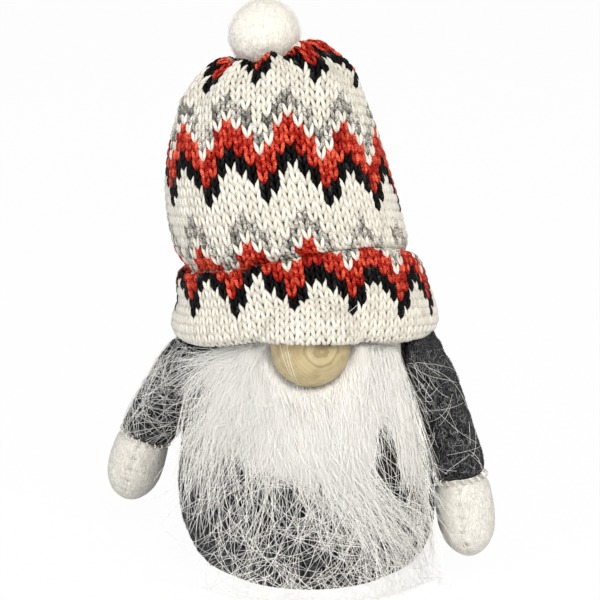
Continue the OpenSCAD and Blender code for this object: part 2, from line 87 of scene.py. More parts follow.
def coat(tree, colour, inputs, height=None, relief=None, **settings):
    """Closes a material: a surface of a colour, with relief from a height where it has one."""
    inputs = {"Base Color": colour, **inputs}
    if height is not None:
        bump = add(tree, "ShaderNodeBump", {"Height": height, **relief}, **settings)
        inputs["Normal"] = bump.outputs["Normal"]
    surface = add(tree, "ShaderNodeBsdfPrincipled", inputs)
    add(tree, "ShaderNodeOutputMaterial", {"Surface": surface.outputs["BSDF"]})


def patterned(name, kind, pattern, stops, inputs, depth=0, value="Fac", invert=False, **settings):
    """A material with one pattern, which gives its colours and, where depth is given in mm, its relief."""
    made, tree = material(name)
    place = add(tree, "ShaderNodeTexCoord").outputs["Object"]
    shape = add(tree, kind, {"Vector": place, **pattern}, **settings).outputs[value]
    shade = add(tree, "ShaderNodeValToRGB", {"Fac": shape}, stops)
    coat(tree, shade.outputs["Color"], inputs, shape if depth else None, {"Distance": depth * MM}, invert=invert)
    return made


def paint(mesh, finish):
    """Gives a mesh one material."""
    mesh.materials.clear()
    mesh.materials.append(finish)


def dress(names, finish):
    """Gives CAD nodes that keep their shape a material."""
    for name in names:
        paint(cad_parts[name].data, finish)


# Greyboard: pulped waste paper, so brown specks about 1 mm across in a matt grey sheet.
greyboard = patterned("greyboard", "ShaderNodeTexNoise", {"Scale": 1 / (1.0 * MM), "Detail": 5},
                      [(0.35, "#8d7a58"), (0.6, "#b79a6b")], {"Roughness": 0.9}, 0.1)
dress(["base_board"], greyboard)

# Calico: unbleached plain-woven cotton. Threads lie 0.5 mm apart both ways and make a fine check.
calico, tree = material("unbleached_calico")
place = add(tree, "ShaderNodeTexCoord").outputs["Object"]
warp, weft = (add(tree, "ShaderNodeTexWave", {
    "Vector": place, "Scale": band / (0.5 * MM), "Distortion": 1.0}, bands_direction=way) for way in "XY")
weave = add(tree, "ShaderNodeMath", {0: warp.outputs["Fac"], 1: weft.outputs["Fac"]}, operation="MULTIPLY")
shade = add(tree, "ShaderNodeValToRGB", {"Fac": weave.outputs[0]}, [(0.0, "#d8ccb0"), (0.7, "#efe6d2")])
coat(tree, shade.outputs["Color"], {"Roughness": 0.85}, weave.outputs[0], {"Distance": 0.15 * MM})

# Polypropylene pellets: translucent beads about 3 mm across, packed so that each is a rounded cell.
pellets = patterned("polypropylene_pellets", "ShaderNodeTexVoronoi", {"Scale": 1 / (3.0 * MM)},
                    [(0.2, "#f2f1ea"), (0.6, "#b9b6aa")], {"Roughness": 0.35, "IOR": 1.49}, 1.0, "Distance", True)
dress(["weight_pellets"], pellets)

# Polyester filling: a mat of crimped white fibres, soft and matt, with hollows a few millimetres wide.
filling = patterned("polyester_filling", "ShaderNodeTexNoise",
                    {"Scale": 1 / (3.0 * MM), "Detail": 6, "Roughness": 0.7, "Distortion": 1.5},
                    [(0.3, "#d4d5d3"), (0.6, "#f6f6f4")], {"Roughness": 0.95, "Sheen Weight": 0.3}, 0.8)


def sewing_thread(name, low, high):
    """Two-ply polyester thread: its twist shows as slanting bands 0.8 mm apart, with a slight gloss."""
    return patterned(name, "ShaderNodeTexWave", {"Scale": band / (0.8 * MM), "Distortion": 1.0},
                     [(0.1, low), (0.8, high)], {"Roughness": 0.55}, 0.1, bands_direction="DIAGONAL")


black_thread = sewing_thread("black_polyester_thread", "#121214", "#2c2c30")
white_thread = sewing_thread("white_polyester_thread", "#bdb9ad", "#e9e6dc")
dress(["head_thread", "left_shoulder_loop", "right_shoulder_loop"], black_thread)
dress(["crown_thread", "pompom_thread"], white_thread)


def linked(name, data):
    """A new object in the scene."""
    made = bpy.data.objects.new(name, data)
    bpy.context.scene.collection.objects.link(made)
    return made


def smooth_shaded(mesh):
    mesh.polygons.foreach_set("use_smooth", np.ones(len(mesh.polygons), bool))


def piece(name, points, faces, finish):
    """An object with a smooth mesh through points in mm."""
    mesh = bpy.data.meshes.new(name)
    mesh.from_pydata((np.asarray(points) * MM).tolist(), [], faces)
    smooth_shaded(mesh)
    paint(mesh, finish)
    return linked(name, mesh)


def loft(rings, first, last):
    """Points and faces of a closed skin through rings that run anticlockwise and climb to last."""
    count, sides = rings.shape[:2]
    ring = [(k, (k + 1) % sides) for k in range(sides)]
    top = 1 + (count - 1) * sides
    faces = [(0, 1 + b, 1 + a) for a, b in ring]
    for low in range(1, top, sides):
        faces += [(low + a, low + b, low + sides + b, low + sides + a) for a, b in ring]
    faces += [(top + a, top + b, count * sides + 1) for a, b in ring]
    return np.vstack([[first], rings.reshape(-1, 3), [last]]), faces


def settle(dressed):
    """Turns what an object's modifiers make into its plain mesh."""
    made = dressed.evaluated_get(bpy.context.evaluated_depsgraph_get())
    mesh = bpy.data.meshes.new_from_object(made)
    dressed.modifiers.clear()
    dressed.data = mesh
    smooth_shaded(mesh)


def remesh(dressed, voxel):
    """Gives an object an even mesh with faces of about voxel mm."""
    even = dressed.modifiers.new("even", "REMESH")
    even.mode, even.voxel_size = "VOXEL", voxel * MM
    settle(dressed)


def read(dressed, what="co"):
    """Three numbers for each point of an object: its place in metres, or its normal."""
    values = np.zeros(len(dressed.data.vertices) * 3)
    dressed.data.vertices.foreach_get(what, values)
    return values.reshape(-1, 3)


def where(dressed):
    """An object's points in mm."""
    return read(dressed) / MM


def put(dressed, points):
    """Moves an object's points to places in mm."""
    dressed.data.vertices.foreach_set("co", (points * MM).ravel())
    dressed.data.update()


def soften(name, node, body, voxel, lump, finish):
    """A soft inner piece: an even copy of its solid, drawn in by up to lump mm in smooth hollows."""
    made = linked(name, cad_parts[node].data.copy())
    made.modifiers.new("merge", "WELD").merge_threshold = 0.001 * MM
    remesh(made, voxel)
    paint(made.data, finish)
    points = where(made)
    hollow = 0.5 + 0.5 * np.sin(points @ [0.55, 0.3, 0.5]) * np.sin(points @ [-0.35, 0.6, 0.4] + 1)
    put(made, points - lump * (0.3 + 0.7 * hollow[:, None]) * read(made, "normal"))
    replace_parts(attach(made, body), node)


soften("pellet_bag", "weight_bag", "body", 0.8, 0.0, calico)
soften("body_stuffing", "body_filling", "body", 2.0, 0.6, filling)
soften("hat_stuffing", "hat_filling", "body", 2.0, 0.6, filling)
for side in ("left", "right"):
    soften(side + "_arm_stuffing", side + "_arm_filling", side + "_arm", 1.2, 0.4, filling)

# Felt body: one piece of charcoal wool felt sewn up the back, stuffed until it is round, and drawn
# together on top of the head. A disc of the same felt closes the foot.
foot_r, belly_r, neck_r = 32.0, 41.0, 33.5
corner_h, neck_z, head_h = 17.0, 78.0, 30.0
felt_t = 1.6
body_slack = 1.0  # how much smaller the felt is cut than the stuffed body
sim_frames = 12


def felt(name, shades, streaks):
    """Pressed wool felt: matt, napped, with loose fibres 0.3 mm wide lying every way across it. Real
    fibres are ten times finer; they are drawn as coarse as the render can show."""
    made, tree = material(name)
    place = add(tree, "ShaderNodeTexCoord").outputs["Object"]
    cloud = add(tree, "ShaderNodeTexNoise", {"Vector": place, "Scale": 1 / (3.5 * MM), "Detail": 4})
    colour = add(tree, "ShaderNodeValToRGB", {"Fac": cloud.outputs["Fac"]},
                 [(0.36, shades[0]), (0.64, shades[1])]).outputs["Color"]
    height = cloud.outputs["Fac"]
    lies = ((0.2, 0.0, 0.3), (0.9, 0.5, -0.6), (-0.7, 0.4, 1.1), (1.3, -0.6, 0.2), (0.4, 1.1, 0.8))
    for lie, tone in zip(lies, streaks):
        along = add(tree, "ShaderNodeMapping", {"Vector": place, "Rotation": lie, "Scale": (1, 1, 0.22)})
        strand = add(tree, "ShaderNodeTexNoise", {
            "Vector": along.outputs["Vector"], "Scale": 1 / (0.6 * MM), "Detail": 1, "Distortion": 1.6})
        cover = add(tree, "ShaderNodeMapRange", {
            "Value": strand.outputs["Fac"], "From Min": 0.56, "From Max": 0.66, "To Max": 0.9}).outputs["Result"]
        colour = add(tree, "ShaderNodeMix", {0: cover, 6: colour, 7: linear(tone)}, data_type="RGBA").outputs[2]
        height = add(tree, "ShaderNodeMath", {0: height, 1: cover}, operation="ADD").outputs[0]
    coat(tree, colour, {"Roughness": 0.95, "Specular IOR Level": 0.06, "Sheen Weight": 0.03, "Sheen Roughness": 0.5},
         height, {"Strength": 0.7, "Distance": 0.25 * MM})
    return made


charcoal_felt = felt("charcoal_melange_felt", ("#0d0e0f", "#18191b"),
                     ("#5a5b5e", "#0e0f10", "#6c6d70", "#0c0d0e", "#505154"))


def body_r(z):
    """Radius of the stuffed body at a height."""
    z = np.asarray(z, float)
    low = foot_r + (belly_r - foot_r) * np.sqrt(1 - np.clip(1 - z / corner_h, 0, 1) ** 2)
    side = belly_r - (belly_r - neck_r) * np.clip((z - corner_h) / (neck_z - corner_h), 0, 1) ** 1.25
    head = neck_r * np.sqrt(np.clip(1 - ((z - neck_z) / head_h) ** 2, 0, 1))
    return np.where(z <= corner_h, low, np.where(z <= neck_z, side, head))


def swell(padded, voxel, cap, held, levels, pressure):
    """Stuffs a felt piece: an even mesh of it is blown up as cloth, held along its seams. The cloth is
    worked with a millimetre as its unit, and no point moves further than cap mm."""
    finish = padded.data.materials[0]
    remesh(padded, voxel)
    rest = where(padded)
    grip = held(rest)
    shift = cap * read(padded, "normal") * (1 - grip[:, None])
    put(padded, rest / MM)
    sewn = padded.vertex_groups.new(name="sewn")
    for k in np.flatnonzero(grip > 0.02):
        sewn.add([int(k)], float(grip[k]), "REPLACE")
    cloth = padded.modifiers.new("stuffing", "CLOTH")
    cloth.settings.vertex_group_mass = "sewn"
    cloth.settings.use_pressure = True
    cloth.settings.uniform_pressure_force = pressure
    cloth.settings.effector_weights.gravity = 0
    cloth.point_cache.frame_end = sim_frames
    for step in range(1, sim_frames + 1):
        bpy.context.scene.frame_set(step)
    shift = read(padded.evaluated_get(bpy.context.evaluated_depsgraph_get())) - rest
    padded.modifiers.clear()
    bpy.context.scene.frame_set(1)
    padded.vertex_groups.clear()
    far = np.linalg.norm(shift, axis=1, keepdims=True)
    put(padded, rest + shift * np.minimum(1, cap / np.maximum(far, 1e-9)))
    finer = padded.modifiers.new("finer", "SUBSURF")
    finer.levels = finer.render_levels = levels
    settle(padded)
    paint(padded.data, finish)


def ease(t):
    """Goes smoothly from 0 to 1 as t does."""
    t = np.clip(t, 0, 1)
    return t * t * (3 - 2 * t)


def side_swell(angle, z):
    """How much fuller the stuffing is on the figure's right, at an angle round the body and a height."""
    return 2.8 * np.clip(-np.cos(angle), 0, 1) ** 2 * ease((66 - z) / 22) * ease((z - 4) / 30)


def circles(radii, heights, turn):
    """Level rings of points round the middle."""
    return np.stack([np.stack([r * np.cos(turn), r * np.sin(turn), np.full(turn.shape, z)], 1)
                     for r, z in zip(radii, heights)])


def body_seams(points):
    """How firmly the felt is held: along the back seam, and round the foot."""
    back = np.exp(-(points[:, 0] / 2.0) ** 2) * (points[:, 1] > 0)
    foot = np.clip((5 - points[:, 2]) / 3, 0, 1)
    return np.maximum(back, foot)


turn = np.radians(np.arange(0, 360, 5))
heights = np.concatenate([np.linspace(body_slack, corner_h, 8), np.linspace(22, neck_z, 12),
                          neck_z + (head_h - body_slack) * np.sin(np.linspace(0.15, 1.45, 9))])
rings = circles(np.maximum(body_r(heights) - body_slack, 2), heights, turn)
felt_body = piece("felt_body", *loft(rings, (0, 0, body_slack), (0, 0, neck_z + head_h - body_slack)), charcoal_felt)
swell(felt_body, 4.0, body_slack, body_seams, 2, 0.06)

# The back seam draws the felt into a crease with a pull at each stitch, and the head is gathered.
points = where(felt_body)
x, y, z = points.T.copy()
radius, angle = np.maximum(np.hypot(x, y), 1e-6), np.arctan2(y, x)
outward = np.stack([x / radius, y / radius, np.zeros(len(points))], 1)
crease = 0.9 * np.exp(-(x / 1.1) ** 2) * (y > 10)
pull = 0.25 * np.exp(-(x / 5) ** 2) * (y > 10) * np.cos(z * 2 * math.pi / 4)
gather = np.cos(14 * angle) * np.exp(-((radius - 9) / 7) ** 2) * (z > 95)
points += (side_swell(angle, z) - crease - pull)[:, None] * outward
points[:, 2] = np.maximum(points[:, 2] - np.abs(gather), 0.4)
put(felt_body, points)
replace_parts(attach(felt_body, "body"), "body_felt")

# One tree makes yarn, fur, nap and sewing: tubes along lines, each point with its own share of thickness.
hair_tree = bpy.data.node_groups.new("strands_from_lines", "GeometryNodeTree")
for name, kind in (("Lines", "Geometry"), ("Sides", "Int"), ("Thickness", "Float"), ("Finish", "Material")):
    hair_tree.interface.new_socket(name, in_out="INPUT", socket_type="NodeSocket" + kind)
hair_tree.interface.new_socket("Strands", in_out="OUTPUT", socket_type="NodeSocketGeometry")
sizes = add(hair_tree, "NodeGroupInput")
lines = add(hair_tree, "GeometryNodeMeshToCurve", {"Mesh": sizes.outputs["Lines"]})
share = add(hair_tree, "GeometryNodeInputNamedAttribute", {"Name": "thick"}, data_type="FLOAT")
girth = add(hair_tree, "ShaderNodeMath", {0: share.outputs["Attribute"], 1: sizes.outputs["Thickness"]},
            operation="MULTIPLY")
section = add(hair_tree, "GeometryNodeCurvePrimitiveCircle", {"Resolution": sizes.outputs["Sides"], "Radius": 0.5})
tubes = add(hair_tree, "GeometryNodeCurveToMesh", {
    "Curve": lines.outputs["Curve"], "Profile Curve": section.outputs["Curve"], "Scale": girth.outputs[0],
    "Fill Caps": True})
smooth = add(hair_tree, "GeometryNodeSetShadeSmooth", {"Geometry": tubes.outputs["Mesh"]})
real = add(hair_tree, "GeometryNodeRealizeInstances", {"Geometry": smooth.outputs["Geometry"]})
coated = add(hair_tree, "GeometryNodeSetMaterial", {
    "Geometry": real.outputs["Geometry"], "Material": sizes.outputs["Finish"]})
add(hair_tree, "NodeGroupOutput", {"Strands": coated.outputs["Geometry"]})


def strands(name, paths, thickness, sides, finish, **shares):
    """Tubes along paths, an array of strands by points in mm. Shares are values for each point, among
    them thick, its share of the thickness."""
    count, steps = paths.shape[:2]
    mesh = bpy.data.meshes.new(name)
    mesh.vertices.add(count * steps)
    mesh.vertices.foreach_set("co", (paths * MM).ravel())
    ends = np.arange(count * steps).reshape(count, steps)
    pairs = np.stack([ends[:, :-1], ends[:, 1:]], 2)
    mesh.edges.add(pairs.size // 2)
    mesh.edges.foreach_set("vertices", pairs.ravel())
    for key, value in shares.items():
        values = np.broadcast_to(value, (count, steps)).astype(np.float32)
        mesh.attributes.new(key, "FLOAT", "POINT").data.foreach_set("value", values.ravel())
    made = linked(name, mesh)
    tubes = made.modifiers.new("strands", "NODES")
    tubes.node_group = hair_tree
    inputs = {s.name: s.identifier for s in hair_tree.interface.items_tree if s.in_out == "INPUT"}
    for key, value in (("Sides", sides), ("Thickness", thickness * MM), ("Finish", finish)):
        tubes[inputs[key]] = value
    settle(made)
    return made


def curls(count, short, long, draw):
    """Short curled fibres lying flat: how far each point has run across and up from the root, in mm."""
    way = draw.uniform(0, 2 * math.pi, (count, 1)) + draw.normal(0, 1.5, (count, 1)) * np.linspace(0, 1, 4)
    step = draw.uniform(short, long, (count, 1)) / 4
    start = np.zeros((count, 1))
    return [np.hstack([start, np.cumsum(part(way) * step, 1)]) for part in (np.sin, np.cos)]


def lie_on(felted, points, off):
    """Brings points, in mm, to the nearest place on a piece and off mm above it."""
    mesh = felted.data
    skin = BVHTree.FromPolygons([v.co for v in mesh.vertices], [list(f.vertices) for f in mesh.polygons])
    laid, off = np.empty(points.shape), np.broadcast_to(off, points.shape[:2])
    for k in np.ndindex(points.shape[:2]):
        place, normal, *_ = skin.find_nearest(Vector(points[k]) * MM)
        laid[k] = np.array(place) / MM + off[k] * np.array(normal)
    return laid


def toned(name, stops, inputs):
    """A material for fibres that each have their own tone."""
    made, tree = material(name)
    tone = add(tree, "ShaderNodeAttribute", attribute_name="tone")
    shade = add(tree, "ShaderNodeValToRGB", {"Fac": tone.outputs["Fac"]}, stops)
    coat(tree, shade.outputs["Color"], inputs)
    return made


# Felt nap: the loose grey fibres that curl on the face of the felt, from near black to pale grey.
felt_nap = toned("charcoal_felt_nap", [(0.0, "#1f2021"), (0.5, "#5c5d60"), (1.0, "#a3a4a6")], {"Roughness": 0.8})
nap_d, nap_off = 0.15, 0.25

draw = np.random.default_rng(3)
count = 4500
across, up = curls(count, 1.4, 3.6, draw)
high = np.clip(draw.uniform(3, 77, (count, 1)) + up, 1.5, 78)
angle = draw.uniform(0, 2 * math.pi, (count, 1)) + across / 40
r = body_r(high)
laid = lie_on(felt_body, np.stack([r * np.cos(angle), r * np.sin(angle), high], 2),
              draw.uniform(0.0, nap_off, (count, 1)))
nap = strands("felt_body_nap", laid, nap_d, 3, felt_nap, thick=1.0, tone=draw.uniform(0, 1, (count, 1)))
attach(nap, "body")

disc_r = foot_r - felt_t - 0.1
levels = ((disc_r - 1.0, 0.0), (disc_r, 0.6), (disc_r, 1.0), (disc_r - 0.8, 1.5), (2.0, 1.55))
foot_disc = piece("felt_foot", *loft(circles(*zip(*levels), turn), (0, 0, 0), (0, 0, 1.55)), charcoal_felt)
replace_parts(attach(foot_disc, "body"), "base_felt")

# Beard: white acrylic fur on a knitted backing, cut to a shield and glued under the hem. The pile is
# combed down and out; its long ends thin out over the belly, and loose ones stray over the sleeves.
backing_low, backing_top, backing_w = 40.0, 85.5, 0.84 * neck_r
nose_r, nose_z, nose_back = 12.0, 80.0, -36.6
hinge_r, hinge_z = 36.38, 72.2
arm_place, arm_lean = {"left": -15.0, "right": 172.0}, {"left": 9.5, "right": 20.0}
fur_clear = {"left": 15.0, "right": 10.0}  # how far in front of the hinges fur passes the arms
fur_r = 37  # the front of the body is laid flat on this radius
comb = np.random.default_rng(11)

# Fur backing: white tricot cloth, with loops about 1 mm apart that show as a soft grain.
tricot = patterned("white_tricot_backing", "ShaderNodeTexVoronoi", {"Scale": 1 / (1.0 * MM)},
                   [(0.1, "#eeece6"), (0.7, "#d3d1ca")], {"Roughness": 0.9}, 0.2, "Distance", True)

# Acrylic fur: fine solid fibres with a little gloss; each has its own tone, whiter towards the tip.
acrylic_fur = toned("white_acrylic_fur", [(0.0, "#f0efeb"), (0.5, "#fdfcf8"), (1.0, "#ffffff")],
                    {"Roughness": 0.4, "IOR": 1.5, "Specular IOR Level": 0.5})


def slab(front, back):
    """Points and faces of a closed layer between two grids of points, rows upward and columns across."""
    rows, columns = front.shape[:2]
    grid = np.arange(rows * columns).reshape(rows, columns)
    cells = np.stack([grid[:-1, :-1], grid[:-1, 1:], grid[1:, 1:], grid[1:, :-1]], 2).reshape(-1, 4)
    edge = np.concatenate([grid[0, :-1], grid[:-1, -1], grid[-1, :0:-1], grid[:0:-1, 0]])
    rim = [(int(b) + grid.size, int(a) + grid.size, int(a), int(b)) for a, b in zip(edge, np.roll(edge, -1))]
    points = np.concatenate([front.reshape(-1, 3), back.reshape(-1, 3)])
    return points, cells.tolist() + (cells + grid.size)[:, ::-1].tolist() + rim


high = np.linspace(backing_low, backing_top, 21)
width = np.interp(high, [backing_low, 0.55 * backing_low + 0.45 * backing_top, backing_top],
                  [0.4 * backing_w, backing_w, backing_w])
x = np.outer(width, np.linspace(-1, 1, 25))
walls = [np.stack([x, -np.sqrt(np.maximum((body_r(high) + off)[:, None] ** 2 - x ** 2, 0)),
                   np.repeat(high[:, None], 25, 1)], 2) for off in (1.2, 0.4)]
backing = piece("beard_backing_cloth", *slab(*walls), tricot)
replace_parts(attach(backing, "body"), "beard_backing")


def spun(x, y, degrees):
    """A place turned about an axis."""
    c, s = math.cos(math.radians(degrees)), math.sin(math.radians(degrees))
    return x * c - y * s, x * s + y * c


def hem_z(x):
    """Height of the hat's hem over the beard, at a place across the front."""
    return 76 + 7.5 * np.exp(-(x / fur_r / math.radians(40)) ** 2)


def room(across, height):
    """How far fur may stand off the felt beside the nose and under the hem."""
    off_nose = np.hypot(fur_r * np.sin(np.clip(across / fur_r, -1.5, 1.5)), height - nose_z) - nose_r
    under_hem = hem_z(across) - height
    return np.minimum(1.9 + 1.5 * np.maximum(off_nose, 0), 1.5 + 1.1 * np.maximum(under_hem, 0))


def lay_fur(across, height, stand):
    """Points of fur from their place across the front of the belly, their height, and how far they
    stand off the felt. Past the front of the belly they leave it on a straight line, over the sleeves,
    and they keep out of the nose, the hat's hem and the arms' swing."""
    height = np.maximum(height, 0.7)
    stand = np.maximum(np.minimum(stand, room(across, height)), 0.5)
    r = body_r(np.maximum(height, corner_h)) - 0.2 * (belly_r - body_r(np.minimum(height, corner_h))) + stand
    turn = np.clip(across / fur_r, -0.72, 0.82)
    past = across - fur_r * turn
    x, y = r * np.sin(turn) + past * np.cos(turn), -r * np.cos(turn) + past * np.sin(turn)
    for side, fore_way in (("left", -1), ("right", 1)):
        out, fore = spun(x, y, -arm_place[side])
        inner = np.maximum(hinge_z - height, 0) * math.tan(math.radians(arm_lean[side])) - 2.4
        behind = np.maximum(fur_clear[side] - fore_way * fore, 0)
        push = np.where((out - hinge_r > inner) & (height < hinge_z + 4), behind, 0)
        push_x, push_y = spun(0, fore_way * push, arm_place[side])
        x, y = x + push_x, y + push_y
    return np.stack([x, y, height], -1)


def grow(root_x, root_z, lean, bend, length, stand, steps=8):
    """Fur strands in flat terms: across, height and stand over the underfur of each point. Lean is from
    straight down towards +X at the root, and bend is how much it turns by the tip, in radians."""
    u = np.linspace(0, 1, steps)
    way = lean[:, None] + bend[:, None] * u[:-1]
    step = length[:, None] / (steps - 1)
    zero = np.zeros((len(root_x), 1))
    x = root_x[:, None] + np.hstack([zero, np.cumsum(np.sin(way) * step, 1)])
    z = root_z[:, None] - np.hstack([zero, np.cumsum(np.cos(way) * step, 1)])
    h = stand[:, None] * (1 - np.exp(-u / 0.22)) * (1 - 0.35 * u)
    return x, z, h


def roots(count, low, high, left, right):
    """Places on the backing, at random: across and height."""
    x, z = comb.uniform(left, right, 4 * count), comb.uniform(low, high, 4 * count)
    reach = 33 * np.interp(z, [40, 60.5], [0.4, 1])
    fine = (np.abs(x) < reach) & (z < hem_z(x) - 0.6) & (np.hypot(x, z - nose_z) > 10.5)
    return x[fine][:count], z[fine][:count]


def scatter(count, low, high, left, right):
    """Places anywhere on the front, at random: across and height."""
    return comb.uniform(left, right, count), comb.uniform(low, high, count)


def flow(x, z):
    """The way the fur is combed: parted beside the nose, and swept over the figure's right sleeve."""
    part = [-33, -26, -20, -12, -4, 4, 14, 24, 30]
    top = np.interp(x, part, [-0.8, -0.46, -0.12, 0.1, 0.22, 0.1, 0.06, 0.1, 0.08])
    low = np.interp(x, part, [-0.3, -0.22, -0.02, 0.16, 0.18, 0.1, 0.06, 0.06, 0.1])
    return low + (top - low) * ease((z - 50) / 18)


def lock_up(x, z, h, guides, grip):
    """Draws strands towards the nearest guide strand, more and more to their tips."""
    gx, gz, gh = guides
    near = np.argmin((x[:, :1] - gx[:, 0]) ** 2 + (z[:, :1] - gz[:, 0]) ** 2, axis=1)
    share = grip[:, None] * np.linspace(0, 1, x.shape[1]) ** 0.8
    x = x + share * (gx[near] + 0.2 * (x[:, :1] - gx[near][:, :1]) - x)
    z = z + 0.5 * share * (gz[near] + (z[:, :1] - gz[near][:, :1]) - z)
    h = h + share * (gh[near] - h)
    return x, z, h


# Where the dense fur ends across the beard: lobes in the middle, a gap, and a lock beside the left arm.
lobe_x = [-36, -30, -27, -24, -21, -18, -15, -12, -9, -6, -3, 0, 3, 6, 9, 12, 15, 17, 19, 22, 25, 28, 31]
lobe_z = [77, 73, 69, 62, 55, 53, 46, 47, 41, 43, 39, 42, 39, 43, 40, 42, 47, 54, 62, 66, 66, 60, 54]
# Where the felt shows through the ends: middle, half width and half height, and the share left bare.
bare = ((22.5, 45, 3.9, 13, 0.9), (-5, 32, 4.5, 6, 0.7), (-19, 31, 7, 8, 0.45))


def fur_end(x):
    """Height at which the dense fur ends."""
    return np.interp(x, lobe_x, lobe_z)


def under(x, z):
    """How far the soft mass of the underfur stands off the felt."""
    full = ease((x + 32) / 16) * ease((31 - x) / 5) * ease((z - (fur_end(x) + 8)) / 22)
    lumps = (1 + 0.16 * np.sin(0.55 * x + 0.12 * z) * np.sin(0.23 * z + 1.3)
             + 0.12 * np.sin(1.1 * x + 0.1 * z + 2))
    return np.maximum(np.minimum(1.45 + 3.3 * full * lumps, room(x, z) - 0.5), 1.35)


def fur(name, x, z, h, thickness, tone):
    """Lays grown strands over the underfur, thinned out where the felt shows."""
    kept = np.ones(len(x), bool)
    for middle, height, half, tall, share in bare:
        apart = (((x - middle - 0.12 * (height - z)) / half) ** 2 + ((z - height) / tall) ** 2).min(1)
        kept &= comb.random(len(x)) > share * np.clip(1.5 * (1 - apart), 0, 1)
    x, z, h = x[kept], z[kept], h[kept]
    count, steps = x.shape
    u = np.linspace(0, 1, steps)
    made = strands(name, lay_fur(x, z, under(x, z) + 0.12 + h), thickness, 3, acrylic_fur,
                   thick=comb.uniform(0.75, 1.15, (count, 1)) * (1.05 - 0.5 * u ** 3),
                   tone=np.clip(comb.normal(tone, 0.2, (count, 1)) + 0.2 * (u - 0.5), 0, 1))
    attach(made, "body")


def tuft(x0, z0, lean, bend, length, stand, steps=8, fit=lambda drawn, z0: drawn):
    """Grows strands with each measure drawn at random: lean and bend from a mean and a spread, length and
    stand between limits. Lean may be given for each strand, and fit turns what is drawn into a length."""
    count = len(x0)
    lean = comb.normal(*lean, count) if isinstance(lean, tuple) else lean
    return grow(x0, z0, lean, comb.normal(*bend, count), fit(comb.uniform(*length, count), z0),
                comb.uniform(*stand, count), steps)


def down_to(drawn, z0):
    """The length that brings a strand's tip down to the height drawn."""
    return z0 - drawn


# Underfur: the short dense fibres at the root, so close that they read as one soft white mass.
# Fibres 0.3 mm wide, drawn coarser than real, lie down it.
underfur, tree = material("white_acrylic_underfur")
place = add(tree, "ShaderNodeTexCoord").outputs["Object"]
along = add(tree, "ShaderNodeMapping", {"Vector": place, "Scale": (1, 1, 0.12)})
fibre = add(tree, "ShaderNodeTexNoise", {
    "Vector": along.outputs["Vector"], "Scale": 1 / (0.5 * MM), "Detail": 3, "Distortion": 0.7})
shade = add(tree, "ShaderNodeValToRGB", {"Fac": fibre.outputs["Fac"]}, [(0.3, "#ebeae5"), (0.6, "#fbfaf7")])
coat(tree, shade.outputs["Color"], {"Roughness": 0.8, "Specular IOR Level": 0.3},
     fibre.outputs["Fac"], {"Strength": 0.35, "Distance": 0.3 * MM})

x = np.broadcast_to(np.linspace(-32, 31, 64), (41, 64))
low = fur_end(x) + 8
z = low + (hem_z(x) - 0.8 - low) * np.linspace(0, 1, 41)[:, None]
mass = piece("beard_underfur", *slab(lay_fur(x, z, under(x, z)), lay_fur(x, z, np.full(x.shape, 1.25))), underfur)
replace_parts(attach(mass, "body"), "beard_pile")

# The dense fur, drawn together a little towards guide strands.
gx, gz = roots(150, 44, 83, -32, 30)
count = len(gx)
guides = grow(gx, gz, flow(gx, gz) + comb.normal(0, 0.16, count), -0.4 * flow(gx, gz) + comb.normal(0, 0.3, count),
              np.clip(gz - fur_end(gx) + comb.normal(0, 4, count), 8, 44), comb.uniform(0.5, 3, count), 7)
for k in range(3):
    x0, z0 = roots(4600, 44, 83, -32, 30)
    count = len(x0)
    lean = flow(x0, z0) + comb.normal(0, 0.14, count)
    length = np.clip(z0 - fur_end(x0) + comb.normal(0, 6, count), 5, 44)
    grown = grow(x0, z0, lean, -0.4 * flow(x0, z0) + comb.normal(0, 0.22, count),
                 length * comb.uniform(0.45, 1.0, count), comb.uniform(0.1, 2.6, count), 7)
    fur(f"beard_fur_{k + 1}", *lock_up(*grown, guides, comb.uniform(0.0, 0.5, count)), 0.12, 0.45)

# Guard hairs: fewer, thicker and brighter than the rest.
x0, z0 = roots(1500, 48, 83, -30, 30)
count = len(x0)
lean = flow(x0, z0) + comb.normal(0, 0.12, count)
length = np.clip(z0 - fur_end(x0) + comb.uniform(-9, 5, count), 8, 44)
fur("beard_guard_hairs", *grow(x0, z0, lean, -0.4 * flow(x0, z0) + comb.normal(0, 0.3, count), length,
                               comb.uniform(0.8, 3.6, count), 10), 0.15, 0.9)

# Short fur closes up round the nose, and a lock lies over the parting beside it.
x0, z0 = roots(1300, 60, 83, -25, 18)
lean = flow(x0, z0) + comb.normal(0, 0.32, len(x0))
fur("beard_fur_by_nose", *tuft(x0, z0, lean, (0, 0.3), (5, 14), (0.05, 0.8), 6), 0.12, 0.45)

x0, z0 = roots(1500, 54, 83, -29, -4)
by_parting = np.abs(x0 + 24 - 0.72 * (78 - z0)) < 4.5
fur("beard_parting_lock", *tuft(x0[by_parting], z0[by_parting], (0.34, 0.22), (-0.25, 0.3), (9, 24), (0.6, 2.6), 7),
    0.13, 0.55)

# Locks on the figure's right: one fans out over the sleeve, the others hang in front of it.
x0, z0 = roots(420, 72, 79, -31, -14)
lean = comb.normal(-1.25, 0.2, len(x0)) * np.interp(x0, [-25, -14], [1, 0.3])
fur("beard_swept_lock", *tuft(x0, z0, lean, (0.5, 0.4), (10, 29), (0.5, 4)), 0.15, 0.6)
fur("beard_sleeve_lock", *tuft(*roots(260, 50, 72, -33, -24), (-0.22, 0.3), (0.2, 0.5), (10, 26), (0.5, 4)), 0.15, 0.6)
fur("beard_hanging_lock", *tuft(*scatter(180, 42, 68, -44, -29), (-0.26, 0.14), (0.3, 0.25), (10, 26), (0.2, 3)),
    0.14, 0.6)

